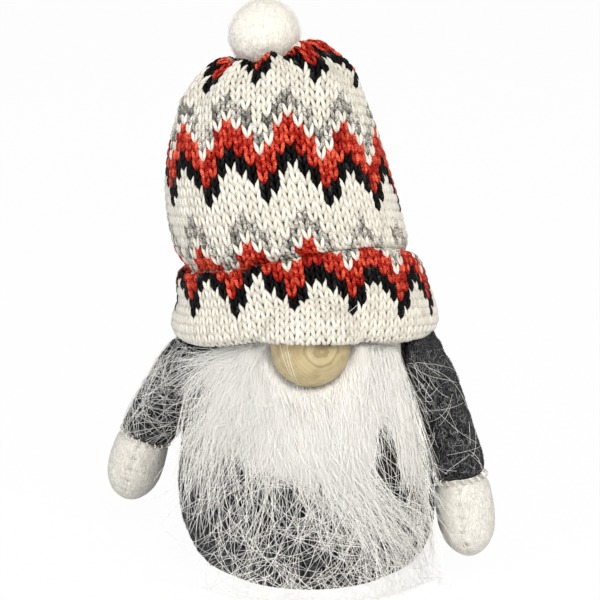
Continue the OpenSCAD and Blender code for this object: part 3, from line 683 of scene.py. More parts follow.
# The long ends hang in loose bunches, with the dark felt between them.
gx, gz = scatter(46, 46, 62, -30, 30)
lean = flow(gx, gz) + comb.normal(0, 0.4, 46)
guides = [np.array([np.interp(np.linspace(0, 7, 10), np.arange(8), line) for line in part])
          for part in tuft(gx, gz, lean, (0, 0.7), (0, 24), (0.5, 5), fit=down_to)]
x0, z0 = roots(420, 44, 64, -30, 27)
lean = flow(x0, z0) + comb.normal(0, 0.42, len(x0))
grown = tuft(x0, z0, lean, (0, 0.9), (0, 32), (0.5, 5), 10, down_to)
fur("beard_long_ends", *lock_up(*grown, guides, comb.uniform(0.0, 0.9, len(x0))), 0.15, 0.65)
fur("beard_right_ends", *tuft(*scatter(40, 40, 60, -33, -9), (0.0, 0.35), (0.1, 0.7), (2, 28), (0.5, 4), 10, down_to),
    0.14, 0.65)
fur("beard_loose_ends", *tuft(*scatter(300, 6, 46, -30, 35), (0.1, 0.85), (0, 0.9), (10, 30), (0.5, 6), 10,
                              lambda drawn, z0: np.minimum(drawn, z0 + 4)), 0.15, 0.65)

# Locks on the figure's left, beside the arm and down to the foot.
fur("beard_side_lock", *tuft(*roots(300, 54, 80, 24, 30), (0.1, 0.08), (0.08, 0.16), (32, 48), (0.5, 4), fit=down_to),
    0.15, 0.6)
fur("beard_shoulder_lock", *tuft(*roots(240, 60, 76, 27, 33), (0.14, 0.12), (0.05, 0.25), (16, 42), (0.5, 4)),
    0.14, 0.6)
fur("beard_edge_ends", *tuft(*scatter(110, 16, 44, 32, 41), (0.1, 0.4), (0, 0.6), (8, 22), (0.5, 4)), 0.14, 0.6)
count = 190
x, z, h = tuft(*scatter(count, 38, 54, 1, 15), (0.46, 0.2), (0.3, 0.4), (0, 18), (0.5, 7),
               fit=lambda drawn, z0: (z0 - drawn) * 1.15)
fur("beard_low_lock", *lock_up(x, z, h, (x[:14], z[:14], h[:14]), comb.uniform(0.0, 0.6, count)), 0.14, 0.65)

# Single hairs that stray every way, low down and past the sides.
x0, z0 = scatter(170, 1, 15, -18, 40)
fur("beard_lowest_ends", *tuft(x0, z0, comb.uniform(-1.5, 1.5, len(x0)), (0, 0.4), (8, 20), (1, 6)), 0.16, 0.6)
x0, z0 = roots(150, 50, 76, -33, 29)
lean = np.where(x0 < 0, -1, 1) * comb.uniform(0.3, 1.2, len(x0))
fur("beard_stray_ends", *tuft(x0, z0, lean, (0, 0.9), (14, 28), (1, 6)), 0.13, 0.6)

# Nose: a half ball turned from pale birch across a small branch, so its rings circle the pith. It is
# glued to the backing through a parting in the fur.
pith_x, pith_z, ring_apart = 3.1, 81.2, 0.85

# Birch: sanded and bare. Its rings lie close at the pith and wider and fainter away from it, and
# fine pores take the shine off.
birch, tree = material("bare_turned_birch")
place = add(tree, "ShaderNodeTexCoord").outputs["Object"]
pith = add(tree, "ShaderNodeMapping", {
    "Vector": place, "Location": (-pith_x * MM, 0, -pith_z * MM), "Scale": (1, 0.1, 1)})
wander = add(tree, "ShaderNodeTexNoise", {"Vector": place, "Scale": 1 / (3.5 * MM), "Detail": 2})
away = add(tree, "ShaderNodeVectorMath", {0: pith.outputs["Vector"]}, operation="LENGTH")
strayed = add(tree, "ShaderNodeMath", {0: wander.outputs["Fac"], 1: 1.6 * MM, 2: away.outputs["Value"]},
              operation="MULTIPLY_ADD")
years = add(tree, "ShaderNodeMath", {0: strayed.outputs[0], 1: 0.5}, operation="POWER")
rings = add(tree, "ShaderNodeTexNoise", {
    "W": years.outputs[0], "Scale": 6.0 / MM ** 0.5, "Detail": 2, "Roughness": 0.65}, noise_dimensions="1D")
pores = add(tree, "ShaderNodeTexNoise", {"Vector": place, "Scale": 1 / (0.5 * MM), "Detail": 4})
close = add(tree, "ShaderNodeMath", {0: strayed.outputs[0], 1: 2 * math.pi / (ring_apart * MM)}, operation="MULTIPLY")
wave = add(tree, "ShaderNodeMath", {0: close.outputs[0]}, operation="SINE")
grain = add(tree, "ShaderNodeMath", {0: wave.outputs[0], 1: 0.11, 2: rings.outputs["Fac"]}, operation="MULTIPLY_ADD")
ringed = add(tree, "ShaderNodeValToRGB", {"Fac": grain.outputs[0]},
             [(0.32, "#80714f"), (0.44, "#a5956f"), (0.55, "#b7a884"), (0.66, "#c3b592"), (0.74, "#a1916b")])
plain = add(tree, "ShaderNodeValToRGB", {"Fac": wander.outputs["Fac"]}, [(0.35, "#9c8b63"), (0.6, "#b5a680")])
fade = add(tree, "ShaderNodeMapRange", {
    "Value": away.outputs["Value"], "From Min": 2.0 * MM, "From Max": 10.0 * MM, "To Min": 0.25, "To Max": 0.72})
shade = add(tree, "ShaderNodeMix", {
    0: fade.outputs["Result"], 6: ringed.outputs["Color"], 7: plain.outputs["Color"]}, data_type="RGBA")
coat(tree, shade.outputs[2], {"Roughness": 0.55, "Specular IOR Level": 0.4},
     pores.outputs["Fac"], {"Strength": 0.3, "Distance": 0.08 * MM})
dress(["nose"], birch)

# Three hairs of the beard have caught on the nose.
u = np.linspace(0, 1, 9)
across = np.array([[-7.0], [-9.1], [-7.4]]) + np.array([[3.7], [3.1], [3.6]]) * u ** 1.3
height = np.array([[82.6], [82.4], [80.5]]) + np.array([[-14.0], [-9.5], [-12.5]]) * u
dome = np.sqrt(np.clip(1 - (across ** 2 + (height - nose_z) ** 2) / (nose_r + 0.3) ** 2, 0.12, 1))
caught = strands("beard_hairs_on_nose", np.stack([across, nose_back - 10.9 * dome - 0.2, height], 2), 0.14, 3,
                 acrylic_fur, thick=1 - 0.5 * u ** 2, tone=0.6)
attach(caught, "body")

# Hot-melt glue: a milky dab, smooth, with faint clouds where it set first.
glue = patterned("hot_melt_glue", "ShaderNodeTexNoise", {"Scale": 1 / (2.0 * MM)},
                 [(0.3, "#e3dfcf"), (0.7, "#f3f0e4")], {"Roughness": 0.3, "IOR": 1.48})
dress(["nose_glue"], glue)

# Arms: a charcoal felt sleeve pressed flat at the shoulder, where a loop of thread carries it, and a
# white felt mitten overcast to its wrist. Both are stuffed; the mitten's seam runs down its front.
sleeve_len, mitten_len, barrel_r, wrist_r, mitten_r, shoulder_w = 41.0, 26.0, 1.6, 8.5, 9.1, 9.2
swing = {"left": -3.0, "right": -14.0}  # degrees the arm leans: forward on the left, back on the right
facing = {"left": -90.0, "right": 90.0}  # the angle round the arm that faces the front
fore_w = {"left": 5.0, "right": 0.0}  # how much wider the sleeve is in front, at the shoulder
inner_w = {"left": 0.0, "right": 3.2}  # how much thicker it is on its inner side
arm_slack = 0.6  # how much smaller the arm is cut than it is stuffed
arm_cap = arm_slack + 0.3  # how far its felt may move
arm_round = 8  # a rough radius, to turn a length round the arm into an angle
held_z = 73.5  # the hat's hem holds the sleeve from here up
lint_count = {"left": 38, "right": 200}
white_felt = felt("white_wool_felt", ("#dfddd5", "#e7e5de"),
                  ("#eeece6", "#d8d6ce", "#efede8", "#d5d3cb", "#ebe9e3"))


def unit(v):
    """Vectors brought to a length of 1."""
    return v / np.maximum(np.linalg.norm(v, axis=-1, keepdims=True), 1e-9)


def arm_half(s):
    """Half thickness and half width of an arm at a distance down it."""
    u = np.clip((s - sleeve_len) / mitten_len, 0, 1)
    thick = barrel_r + (wrist_r - barrel_r) * np.clip(s / sleeve_len, 0.04, 1) ** 0.35
    wide = shoulder_w + (wrist_r - shoulder_w) * ease(s / (0.6 * sleeve_len))
    hand = (wrist_r + (mitten_r - wrist_r) * ease(u / 0.4)) * np.sqrt(
        np.maximum(0, 1 - np.clip((u - 0.4) / 0.6, 0, 1) ** 2.4))
    return np.where(s <= sleeve_len, thick, hand), np.where(s <= sleeve_len, wide, hand)


def hang(side, s, a, off):
    """A point off the arm's surface, at a distance s down it and an angle a round it."""
    s, a = np.broadcast_arrays(np.asarray(s, float), np.asarray(a, float))
    thick, wide = arm_half(s)
    middle = (wrist_r - barrel_r) * np.clip(s / sleeve_len, 0.04, 1) ** 0.35
    b, front = math.radians(swing[side]), math.radians(facing[side])
    fore = fore_w[side] * ease((24 - s) / 20) * np.maximum(np.cos(a - front), 0) ** 0.7
    inner = 2.4 * ease((4 - s) / 7) + inner_w[side] * ease((s - 2) / 14) * ease((43.5 - s) / 12)
    x = middle + (thick + off) * np.cos(a) - 0.3 * fore - inner * np.maximum(-np.cos(a), 0)
    y = s * math.sin(b) + (wide + off) * np.sin(a) + math.sin(front) * fore
    x, z = spun(x, -s * math.cos(b), arm_lean[side])
    return np.stack([*spun(x + hinge_r, y, arm_place[side]), z + hinge_z], -1)


turn = np.linspace(0, 2 * math.pi, 36, endpoint=False)
for side in ("left", "right"):
    body, front = side + "_arm", math.radians(facing[side])
    s = np.concatenate([np.linspace(sleeve_len - 0.4, 6, 16),
                        [4, 2.4, 1.2, 0.4, -0.8, -2.4, -4.0, -5.4, -6.4, -7.0]])
    off = -arm_slack - np.interp(-s, [0.8, 2.4, 4.0, 5.4, 6.4, 7.0], [0, 0.3, 0.7, 1.2, 1.8, 2.5])
    rings = np.stack([hang(side, d, turn, o) for d, o in zip(s, off)])
    sleeve = piece(side + "_felt_sleeve", *loft(rings, hang(side, sleeve_len - 0.3, 0, -wrist_r),
                                                hang(side, -7.2, 0, -4.4)), charcoal_felt)
    swell(sleeve, 1.5, arm_cap, lambda p: np.clip((p[:, 2] - held_z) / 2, 0, 1), 1, 0.4)
    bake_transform(sleeve)
    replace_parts(sleeve, side + "_sleeve")

    s = sleeve_len + mitten_len * np.concatenate([1 - np.array([0.008, 0.03, 0.07, 0.13]), np.linspace(0.8, 0.03, 12)])
    rings = np.stack([hang(side, d, turn, -arm_slack) for d in s])
    mitten = piece(side + "_felt_mitten", *loft(rings, hang(side, sleeve_len + mitten_len - arm_slack, 0, 0),
                                                hang(side, sleeve_len + 0.4, 0, -wrist_r)), white_felt)
    swell(mitten, 1.6, arm_cap, lambda p: np.zeros(len(p)), 2, 0.6)

    # The seam down the mitten's front draws the felt in, most at its stitches.
    down = np.linspace(sleeve_len + 3, sleeve_len + mitten_len - 1.5, 40)
    points = where(mitten)
    apart = np.linalg.norm(points[:, None] - hang(side, down, front, 0)[None], axis=2)
    near, which = apart.min(1), apart.argmin(1)
    inward = unit(hang(side, down, front, -8)[which] - points)
    pits = np.maximum(np.cos(which * 2 * math.pi / 8), 0) ** 2
    dip = (0.4 + 0.6 * pits) * np.exp(-(near / 0.9) ** 2) + 0.3 * pits * np.exp(-(near / 2.6) ** 2)
    put(mitten, points + dip[:, None] * inward)
    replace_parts(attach(mitten, body), side + "_mitten")

    u = np.linspace(-1, 1, 5)
    k = np.arange(20)[:, None]
    wrist = hang(side, sleeve_len + 0.2 + 0.8 * u, 2 * math.pi * k / 20 + 0.05 * u, 0.2 - 0.6 * u ** 2)
    k = np.arange(7)[:, None]
    edge = hang(side, sleeve_len + 5.2 + 2.6 * k + 0.7 * u, front + 0.05 * u, -0.2 - 0.8 * u ** 2)
    thread = strands(side + "_mitten_stitches", np.concatenate([wrist, edge]), 0.5, 6, white_thread, thick=1.0)
    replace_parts(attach(thread, body), side + "_mitten_sewing")

    count = 1300
    across, up = curls(count, 1.2, 3.2, draw)
    curled = hang(side, np.clip(draw.uniform(-2, 40, (count, 1)) + up, -3, 40.6),
                  draw.uniform(0, 2 * math.pi, (count, 1)) + across / arm_round, 0)
    laid = lie_on(sleeve, curled, draw.uniform(0.0, nap_off, (count, 1)))
    nap = strands(side + "_sleeve_nap", laid, nap_d, 3, felt_nap, thick=1.0, tone=draw.uniform(0, 1, (count, 1)))
    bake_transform(nap)

    # Hairs of the beard have caught on the sleeve, most of them on the figure's right.
    count = lint_count[side]
    u = np.linspace(-0.5, 0.5, 9)
    s0, a0 = comb.uniform(1, 38, (count, 1)), comb.uniform(-1.6, 1.5, (count, 1))
    bend = comb.normal(0, 0.9, (count, 1)) + comb.normal(0, 0.6, (count, 1)) * u
    step = comb.uniform(7, 22, (count, 1)) / 8
    down, round_it = np.cumsum(np.cos(bend) * step, 1), np.cumsum(np.sin(bend) * step, 1)
    lint_s = np.clip(s0 + down - down[:, [4]], 1, 40)
    lint_a = front + a0 + (round_it - round_it[:, [4]]) / arm_round
    caught = lie_on(sleeve, hang(side, lint_s, lint_a, 0), comb.uniform(0.3, 0.9, (count, 1)))
    lint = strands(side + "_sleeve_lint", caught, 0.11, 3, acrylic_fur, thick=1.0,
                   tone=comb.uniform(0.2, 0.9, (count, 1)))
    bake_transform(lint)

# Hat: a tube of stocking-stitch knitting in white, red, black and grey marl acrylic, seamed at the
# back, its hem rolled into a cuff that is pushed up over the nose, its top drawn together in puckers.
wale, row, yarn_d = 3.1, 2.75, 1.28
sink = 0.35  # how far the stitches lie sunk into the hat's face
hat_path = np.array([
    # radius, height, share of the lift over the nose, share of the crease's rise in front, cover over the nose
    [36.6, 80.0, 1, 0, 1.4], [37.2, 77.4, 1, 0, 1.4], [38.4, 76.2, 1, 0, 1.9], [39.9, 76.0, 1, 0, 3.2],
    [42.0, 78.0, 1, 0, 4.2], [42.2, 81.0, 0.8, 0.1, 4.2], [39.8, 87.0, 0.35, 0.45, 4.2], [38.6, 93.4, 0, 0.92, 4.2],
    [37.2, 95.6, 0, 1, 4.2], [35.6, 96.2, 0, 1, 4.2], [33.9, 95.4, 0, 1, 4.2], [33.2, 96.0, 0, 1, 4.2],
    [34.8, 98.8, 0, 0.85, 4.2],
    *([36.5 - 11.2 * u ** 2.1, 103.56 + 53.55 * u, 0, 0.5 * (1 - u), 0] for u in (0, 0.22, 0.44, 0.64, 0.82, 0.95)),
    [20.9, 160.4, 0, 0, 0], [16.6, 163.8, 0, 0, 0], [13.0, 165.0, 0, 0, 0], [9.9, 162.4, 0, 0, 0],
    [6.2, 160.6, 0, 0, 0], [2.6, 159.0, 0, 0, 0]])
crease_row = 11  # the place on the path where the crease is deepest
crown_r = 21.0  # inside this radius the stitches are drawn tight


def hat_x(z):
    """How far the hat's middle has sunk to the figure's right at a height."""
    return -1.6 - 11.8 * np.sin(math.pi / 2 * np.clip((z - 86) / 73, 0, 1))


def hat_point(r, z, lift, rise, cover, a):
    """A point of the hat's outer face at an angle a, in degrees, for one place on its path."""
    ahead = (a + 90 + 540) % 360 - 180
    x, c, s = hat_x(z), np.cos(np.radians(a)), np.sin(np.radians(a))
    folds = 1.2 * ease((z - 143.25) / 15.75) * np.clip(r / 13, 0, 1) * (
        np.cos(np.radians(9 * a + 40)) + 0.35 * np.cos(np.radians(5 * a + 110)))
    lump = (2.2 * ease((z - 150) / 12) * np.clip((20 - r) / 7, 0, 1) * np.clip(r / 9, 0, 1)
            * np.exp(-((ahead - 60) / 36) ** 2))
    left_lift = 1.6 * lift * ease((r * c - 5) / 34)
    nose_lift = 7.5 * lift * np.exp(-(ahead / 40) ** 2)
    crease_rise = 12.4 * rise * np.exp(-((ahead - 28) / 70) ** 2)
    high = z + left_lift + nose_lift + crease_rise + folds + lump
    # Where a line out from the hat's middle leaves the nose and its cover, a squashed ball.
    w, d = nose_r + cover, 10.5 + cover
    k = 1 - ((high - nose_z) / w) ** 2
    qa = (c / w) ** 2 + (s / d) ** 2
    qb = 2 * (x * c / w ** 2 - nose_back * s / d ** 2)
    qc = (x / w) ** 2 + (nose_back / d) ** 2 - k
    root = qb ** 2 - 4 * qa * qc
    over_nose = np.where((k > 0) & (root > 0), (-qb + np.sqrt(np.maximum(root, 0))) / (2 * qa), 0)
    radius = np.maximum(r, over_nose) + 0.5 * folds
    tilt = math.tan(math.radians(10)) * ease((z - 96) / 63)
    return np.stack([x + radius * c, radius * s, high + tilt * radius * c], -1)


def hat_skin(path, angles):
    """Rings of points along a path, at angles from the middle of the front."""
    return hat_point(*(path[:, k, None] for k in range(5)), (angles - 90)[None, :])


# The path in fine steps, rounded a little where the yarn can't bend sharply.
length = np.concatenate([[0], np.cumsum(np.hypot(*np.diff(hat_path[:, :2], axis=0).T))])
fine = np.arange(0, length[-1], 0.3)
path = np.stack([np.interp(fine, length, column) for column in hat_path.T], 1)
blur = np.exp(-0.5 * (np.arange(-9, 10) / 3.5) ** 2)
ends = np.pad(path, ((9, 9), (0, 0)), mode="reflect", reflect_type="odd")
path = np.stack([np.convolve(column, blur / blur.sum(), "valid") for column in ends.T], 1)

# A map of the hat: rows by length up from the crease, columns by angle from the middle of the front.
angle_step, up_low, up_step, span = 1.5, -60.0, 0.5, 150
angles = np.arange(-180, 181.0, angle_step)
skin = hat_skin(path, angles)
climb = np.concatenate([np.zeros((1, len(angles))), np.cumsum(np.linalg.norm(np.diff(skin, axis=0), axis=2), 0)])
climb -= climb[np.searchsorted(fine, length[crease_row])]
ups = np.arange(up_low, 100, up_step)
knit_map = np.stack([np.stack([np.interp(ups, climb[:, k], skin[:, k, n]) for n in range(3)], 1)
                     for k in range(len(angles))], 1)
normal_map = unit(np.cross(np.gradient(knit_map, axis=1), np.gradient(knit_map, axis=0)))
girth = np.maximum(np.hypot(knit_map[:, :, 0] - hat_x(knit_map[:, :, 2]), knit_map[:, :, 1]), crown_r)
around = np.cumsum(girth, 1) * math.radians(angle_step)
around -= around[:, [len(angles) // 2]]
spans = np.arange(-span, span + 0.1, 1.0)
angle_map = np.stack([np.interp(spans, line, angles, left=-999, right=999) for line in around])


def pick(table, i, j):
    """Values between the entries of a table, at fractional places."""
    i, j = np.clip(i, 0, table.shape[0] - 1.001), np.clip(j, 0, table.shape[1] - 1.001)
    a, b = i.astype(int), j.astype(int)
    p, q = i - a, j - b
    if table.ndim == 3:
        p, q = p[..., None], q[..., None]
    here, beside = (table[a, k] * (1 - p) + table[a + 1, k] * p for k in (b, b + 1))
    return here * (1 - q) + beside * q


def on_hat(across, up, off):
    """Points off the hat's face, from their length across from the front and up from the crease, and
    their angles."""
    i = (up - up_low) / up_step
    a = pick(angle_map, i, across + span)
    j = (np.clip(a, -180, 180) + 180) / angle_step
    return pick(knit_map, i, j) + off[..., None] * pick(normal_map, i, j), a


def yarn_of(column, course):
    """The chart: which yarn a stitch is knitted in. Bands of grey, red and black zigzag in sixes; the
    cuff's rows lie level while its crease climbs, and the next band just shows at the hem."""
    drop = np.array([0, 1, 2, 4, 3, 1])[(column - 2) % 6]
    slip = np.round(np.clip(0.16 * column * wale + 0.6, -3.3, 4.3) / row).astype(int)
    line = np.where(course > 0, course - 1, course + slip) + drop
    chart = np.array(2 * ["black"] + 3 * ["red"] + ["white"] + 2 * ["grey"] + 5 * ["white"])[(line + 3) % 13]
    tips = np.where((drop == 0) & (course == -13), "black", "white")
    return np.where(line < -3, tips, chart)


def acrylic_yarn(name, stops, fleck):
    """Acrylic knitting yarn: a soft two-ply with a slight gloss. Fibres 0.2 mm wide, drawn coarser
    than real, break up the colour and the surface; tone is each stitch's own shade, plus painted highlight and shade
    along each leg."""
    made, tree = material(name)
    place = add(tree, "ShaderNodeTexCoord").outputs["Object"]
    tone = add(tree, "ShaderNodeAttribute", attribute_name="tone")
    fibre = add(tree, "ShaderNodeTexNoise", {
        "Vector": place, "Scale": 1 / (0.45 * MM), "Detail": 3, "Roughness": 0.65, "Distortion": 0.8})
    share = add(tree, "ShaderNodeMath", {0: fibre.outputs["Fac"], 1: fleck}, operation="MULTIPLY")
    mixed = add(tree, "ShaderNodeMath", {0: tone.outputs["Fac"], 1: share.outputs[0]}, operation="ADD")
    shade = add(tree, "ShaderNodeValToRGB", {"Fac": mixed.outputs[0]}, stops)
    coat(tree, shade.outputs["Color"], {"Roughness": 0.5, "Specular IOR Level": 0.1},
         fibre.outputs["Fac"], {"Strength": 0.6, "Distance": 0.25 * MM})
    return made


yarns = {
    "white": acrylic_yarn("white_acrylic_yarn", [(0.32, "#a29f95"), (0.63, "#d0cdc3"), (0.92, "#ece9e1")], 0.8),
    "red": acrylic_yarn("red_acrylic_yarn", [(0.42, "#200000"), (0.7, "#980f06"), (0.94, "#fa7254")], 0.9),
    "black": acrylic_yarn("black_heather_yarn", [(0.6, "#000000"), (0.85, "#060607"), (0.97, "#4c4c50")], 0.9),
    "grey": acrylic_yarn("grey_marl_yarn", [(0.58, "#3a3938"), (0.76, "#8f8c86"), (0.92, "#dfdcd4")], 1.0),
}


def climb_of(across, up):
    """Where a course lies: the upper rows are stretched a little, more on the figure's right."""
    return up + ease(up / 20) * (0.04 * up + 2.6 * np.sin(np.clip(-across / 33, 0, math.pi / 2)))


def swallowed(across, up):
    """How far the rows above the crease are drawn down into the roll, on the figure's left."""
    return 7.0 * ease((across + 4) / 34) * (1 - 0.5 * ease((up - 28) / 30))


# The stitches that lie on the hat, clear of the back seam, the crease and both ends.
knit = np.random.default_rng(7)
column, course = (part.ravel() for part in np.meshgrid(np.arange(-46, 47), np.arange(-21, 36)))
drawn = np.where(course > 0, swallowed(column * wale, course * row), 0)
centre_up = climb_of(column * wale, (course + 0.6) * row) - drawn
spot, face = on_hat(column * wale, centre_up, np.zeros(len(column)))
place = np.clip(np.round((np.clip(face, -180, 180) + 180) / angle_step).astype(int), 0, len(angles) - 1)
kept = ((np.abs(face) < 178.5) & ((course < 1) | (centre_up > 0.9 * row))
        & (centre_up > climb[0][place] + 1) & (centre_up < climb[-1][place] - 1.0))
column, course, spot, drawn = column[kept], course[kept], spot[kept], drawn[kept]
yarn = yarn_of(column, course)
tight = np.clip(np.hypot(spot[:, 0] - hat_x(spot[:, 2]), spot[:, 1]) / crown_r, 0.3, 1)
tight = np.where(spot[:, 2] > 150, tight, 1.0)

# Each stitch is a V. Along a leg of it, from root to tip: the arch over the face, the girth and the tone, lighter
# mid-leg and darker at the ends as painted highlight and painted shade.
t = np.array([0, 0.15, 0.35, 0.6, 0.85, 1.0])
arch = yarn_d * np.array([-0.35, 0.08, 0.28, 0.24, 0.0, -0.38])
taper = np.array([0.72, 0.98, 1.06, 1.02, 0.86, 0.55])
# Painted highlight where a leg rises over the face, painted shade where it dips under its neighbours.
painted_leg_light = np.array([-0.14, -0.02, 0.09, 0.11, 0.0, -0.14])
legs, girths, tones = [], [], []
for lean_to in (-1, 1):
    wobble = knit.normal(0, 0.07, (len(column), 2, 1))
    across = (column[:, None] + lean_to * (0.04 + 0.43 * t ** 0.85)) * wale + wobble[:, 0]
    upward = climb_of(across, (course[:, None] - 0.1 + 1.6 * t) * row + wobble[:, 1]) - drawn[:, None]
    legs.append(on_hat(across, upward, np.broadcast_to(arch - sink, across.shape) * tight[:, None])[0])
    girths.append(taper * knit.uniform(0.94, 1.06, (len(column), 1)) * tight[:, None])
    tones.append(knit.normal(0.2, 0.06, (len(column), 1)) + painted_leg_light)
upper = course >= 5
for name, some in (("cuff_white", (yarn == "white") & ~upper), ("upper_white", (yarn == "white") & upper),
                   ("red", yarn == "red"), ("black", yarn == "black"), ("grey", yarn == "grey")):
    paths, thick, tone = (np.concatenate([leg[some] for leg in both]) for both in (legs, girths, tones))
    made = strands(f"hat_{name}_stitches", paths, yarn_d, 6, yarns[name.split("_")[-1]], thick=thick, tone=tone)
    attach(made, "body")

# A few of the beard's hairs have caught on the cuff.
count = 16
u = np.linspace(0, 1, 7)
across = (knit.uniform(-38, 30, (count, 1)) + knit.normal(0, 2.5, (count, 1)) * u
          + knit.normal(0, 1.5, (count, 1)) * u ** 2)
upward = knit.uniform(-31, -24, (count, 1)) + knit.uniform(4, 13, (count, 1)) * u
caught = strands("hat_caught_hairs", on_hat(across, upward, np.full(across.shape, 0.85))[0], 0.13, 3, acrylic_fur,
                 thick=1.0, tone=0.7)
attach(caught, "body")

# Knitted ground: the back of the fabric, which shows between the stitches. It is a skin under them, tinted by the same
# chart in darkened colours that are painted shade for the holes between the stitches, and fuzzy with fibres 0.6 mm
# apart.
knit_ground, tree = material("knitted_ground")
tint = add(tree, "ShaderNodeAttribute", attribute_name="yarn")
place = add(tree, "ShaderNodeTexCoord").outputs["Object"]
fibre = add(tree, "ShaderNodeTexNoise", {"Vector": place, "Scale": 1 / (0.6 * MM), "Detail": 3})
coat(tree, tint.outputs["Color"], {"Roughness": 0.9, "Specular IOR Level": 0.1},
     fibre.outputs["Fac"], {"Distance": 0.3 * MM})

inside = np.array([[4.0, 158.0, 0, 0, 0], [20.0, 158.5, 0, 0, 0], [31.5, 128.0, 0, 0.2, 0],
                   [33.5, 105.0, 0, 0.5, 0], [34.3, 92.0, 0, 0.4, 0.6]])  # columns as in hat_path
ground_angles, ground_deep = angles[:-1:2], 1.15
outer = hat_skin(path[::4], ground_angles)
closed = np.concatenate([outer[:, -1:], outer, outer[:, :1]], 1)
slope = unit(np.cross(np.gradient(closed, axis=1)[:, 1:-1], np.gradient(outer, axis=0)))
lining = hat_skin(inside, ground_angles)
rings = np.concatenate([outer - ground_deep * slope, lining])
grid = np.arange(rings.shape[0] * rings.shape[1]).reshape(rings.shape[:2])
above, beside = np.roll(grid, -1, 0), np.roll(grid, -1, 1)
faces = np.stack([grid, beside, np.roll(above, -1, 1), above], 2).reshape(-1, 4).tolist()
ground = piece("hat_knitted_ground", rings.reshape(-1, 3), faces, knit_ground)

# Each yarn's colour darkened: painted shade for the holes between the stitches.
shaded_ground_tints = {"white": "#918e86", "red": "#3a0704", "black": "#050505", "grey": "#65635e"}
ground_up = np.concatenate([climb[::4][:, :-1:2], np.full(lining.shape[:2], -30.0)])
flat_angle = np.broadcast_to(ground_angles, rings.shape[:2])
reach = pick(around, (ground_up - up_low) / up_step, (flat_angle + 180) / angle_step)
chart_up = np.where(ground_up > 3, 2 * ground_up - climb_of(reach, ground_up) + swallowed(reach, ground_up), ground_up)
names = yarn_of(np.round(reach / wale).astype(int), np.round(chart_up / row - 0.6).astype(int))
colours = np.array([linear(shaded_ground_tints[name]) for name in names.ravel()], np.float32)
ground.data.attributes.new("yarn", "FLOAT_COLOR", "POINT").data.foreach_set("color", colours.ravel())
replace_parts(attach(ground, "body"), "hat_knit")

# Pompom: a firm ball of felted white wool with a short nap, tied down through the crown. Soft lumps
# break up its outline, and each fibre of the nap rises from the ball and bends along it.
ball_r, ball_at = 11.25, np.array([-14.17, 0, 170.85])
pompom_wool = felt("felted_white_wool", ("#efece2", "#f5f2ea"),
                   ("#f9f7f0", "#e9e6dc", "#f8f6ef", "#e6e3d9", "#f5f3ec"))
steps = np.linspace(0, math.pi, 50)[1:-1][::-1]
turn = np.linspace(0, 2 * math.pi, 96, endpoint=False)
points, faces = loft(circles(np.sin(steps), np.cos(steps), turn), (0, 0, -1), (0, 0, 1))
lumps = (0.012 * np.sin(points @ [7, 3, 5]) * np.sin(points @ [-4, 8, 2] + 2)
         + 0.008 * np.sin(points @ [13, -9, 11] + 1))
pompom = piece("wool_pompom", ball_at + points * (ball_r - 0.4) * (1 + lumps[:, None]), faces, pompom_wool)
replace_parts(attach(pompom, "body"), "pompom")

count = 3600
way = unit(knit.normal(size=(count, 3)))
along = unit(np.cross(way, knit.normal(size=(count, 3))))
u = np.linspace(0, 1, 5)
rise = ball_r - 0.55 + knit.uniform(0.1, 0.9, (count, 1)) * np.sin(u * math.pi * 0.75)
run = knit.uniform(1.0, 2.6, (count, 1)) * u
lay = way[:, None] * rise[:, :, None] + along[:, None] * run[:, :, None]
nap = strands("pompom_nap", ball_at + lay, 0.09, 3, acrylic_fur, thick=1 - 0.5 * u,
              tone=knit.uniform(0.3, 0.8, (count, 1)))
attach(nap, "body")

# Table, light and camera: a white sweep, one large soft lamp high on the right, and a pale room.
# The sweep and the room look plain white to the camera, and light the figure less than that.
table_half = 3000
eye_away, eye_up = 0.65, math.radians(12)

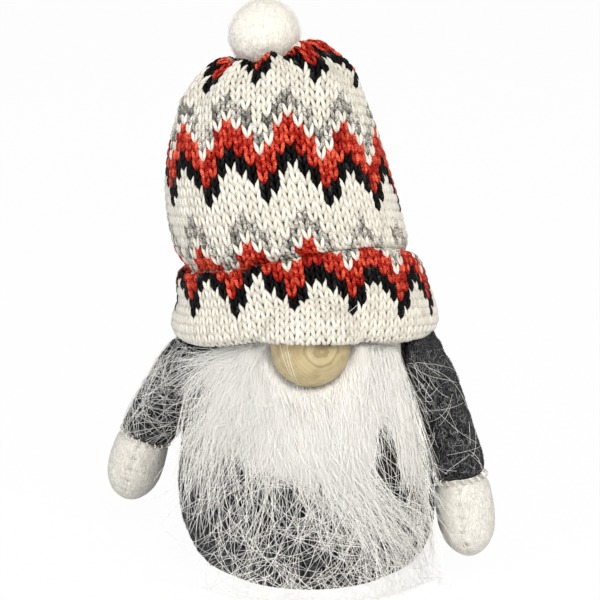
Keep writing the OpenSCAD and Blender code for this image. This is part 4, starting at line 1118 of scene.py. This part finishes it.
# Paper: a matt white sheet that glows where it is looked at, straight or in a reflection.
sweep, tree = material("white_paper_sweep")
seen = add(tree, "ShaderNodeLightPath")
direct = add(tree, "ShaderNodeMath", {0: seen.outputs["Is Camera Ray"], 1: seen.outputs["Is Glossy Ray"]},
             operation="MAXIMUM")
clear = add(tree, "ShaderNodeMath", {0: direct.outputs[0], 1: seen.outputs["Is Transmission Ray"]},
            operation="MAXIMUM")
amount = add(tree, "ShaderNodeMath", {0: clear.outputs[0], 1: 0.97}, operation="MULTIPLY")
paper = add(tree, "ShaderNodeBsdfDiffuse", {"Color": linear("#fafafa")})
glow = add(tree, "ShaderNodeEmission", {"Color": (1, 1, 1, 1), "Strength": 1.0})
mixed = add(tree, "ShaderNodeMixShader", {
    0: amount.outputs[0], 1: paper.outputs["BSDF"], 2: glow.outputs["Emission"]})
add(tree, "ShaderNodeOutputMaterial", {"Surface": mixed.outputs["Shader"]})
corners = [(x * table_half, y * table_half, 0) for x, y in ((-1, -1), (1, -1), (1, 1), (-1, 1))]
table = piece("table", corners, [(0, 1, 2, 3)], sweep)

pale_room = bpy.data.worlds.new("pale_room")
bpy.context.scene.world = pale_room
pale_room.use_nodes = True
tree = pale_room.node_tree
tree.nodes.clear()
seen = add(tree, "ShaderNodeLightPath")
shell = add(tree, "ShaderNodeBackground", {"Color": linear("#f6f7f9"), "Strength": 0.52})
behind = add(tree, "ShaderNodeBackground", {"Color": (1, 1, 1, 1), "Strength": 1.0})
mixed = add(tree, "ShaderNodeMixShader", {
    0: seen.outputs["Is Camera Ray"], 1: shell.outputs["Background"], 2: behind.outputs["Background"]})
add(tree, "ShaderNodeOutputWorld", {"Surface": mixed.outputs["Shader"]})


def aimed(name, data, at, aim):
    """An object at a place, in metres, that faces another place."""
    made = linked(name, data)
    made.location = at
    made.rotation_euler = (Vector(aim) - Vector(at)).to_track_quat("-Z", "Y").to_euler()
    return made


def lamp(name, at, width, power, code):
    """A soft square lamp, in metres, that faces the figure's belly."""
    light = bpy.data.lights.new(name, "AREA")
    light.size, light.energy, light.color = width, power, linear(code)[:3]
    aimed(name, light, at, (0, 0, 0.08))


lamp("key_lamp", (0.26, -0.84, 0.78), 0.45, 9.8, "#fff9f0")
lamp("fill_lamp", (-0.7, -0.8, 0.45), 0.8, 4.6, "#fbfaf8")

aim = np.array([-3.14, 0, 86.6]) * MM
eye = aim + eye_away * np.array([0, -math.cos(eye_up), math.sin(eye_up)])
lens = bpy.data.cameras.new("camera")
lens.lens, lens.sensor_width = 122.4, 36
bpy.context.scene.camera = aimed("camera", lens, eye, aim)
bpy.context.scene.view_settings.view_transform = "Standard"
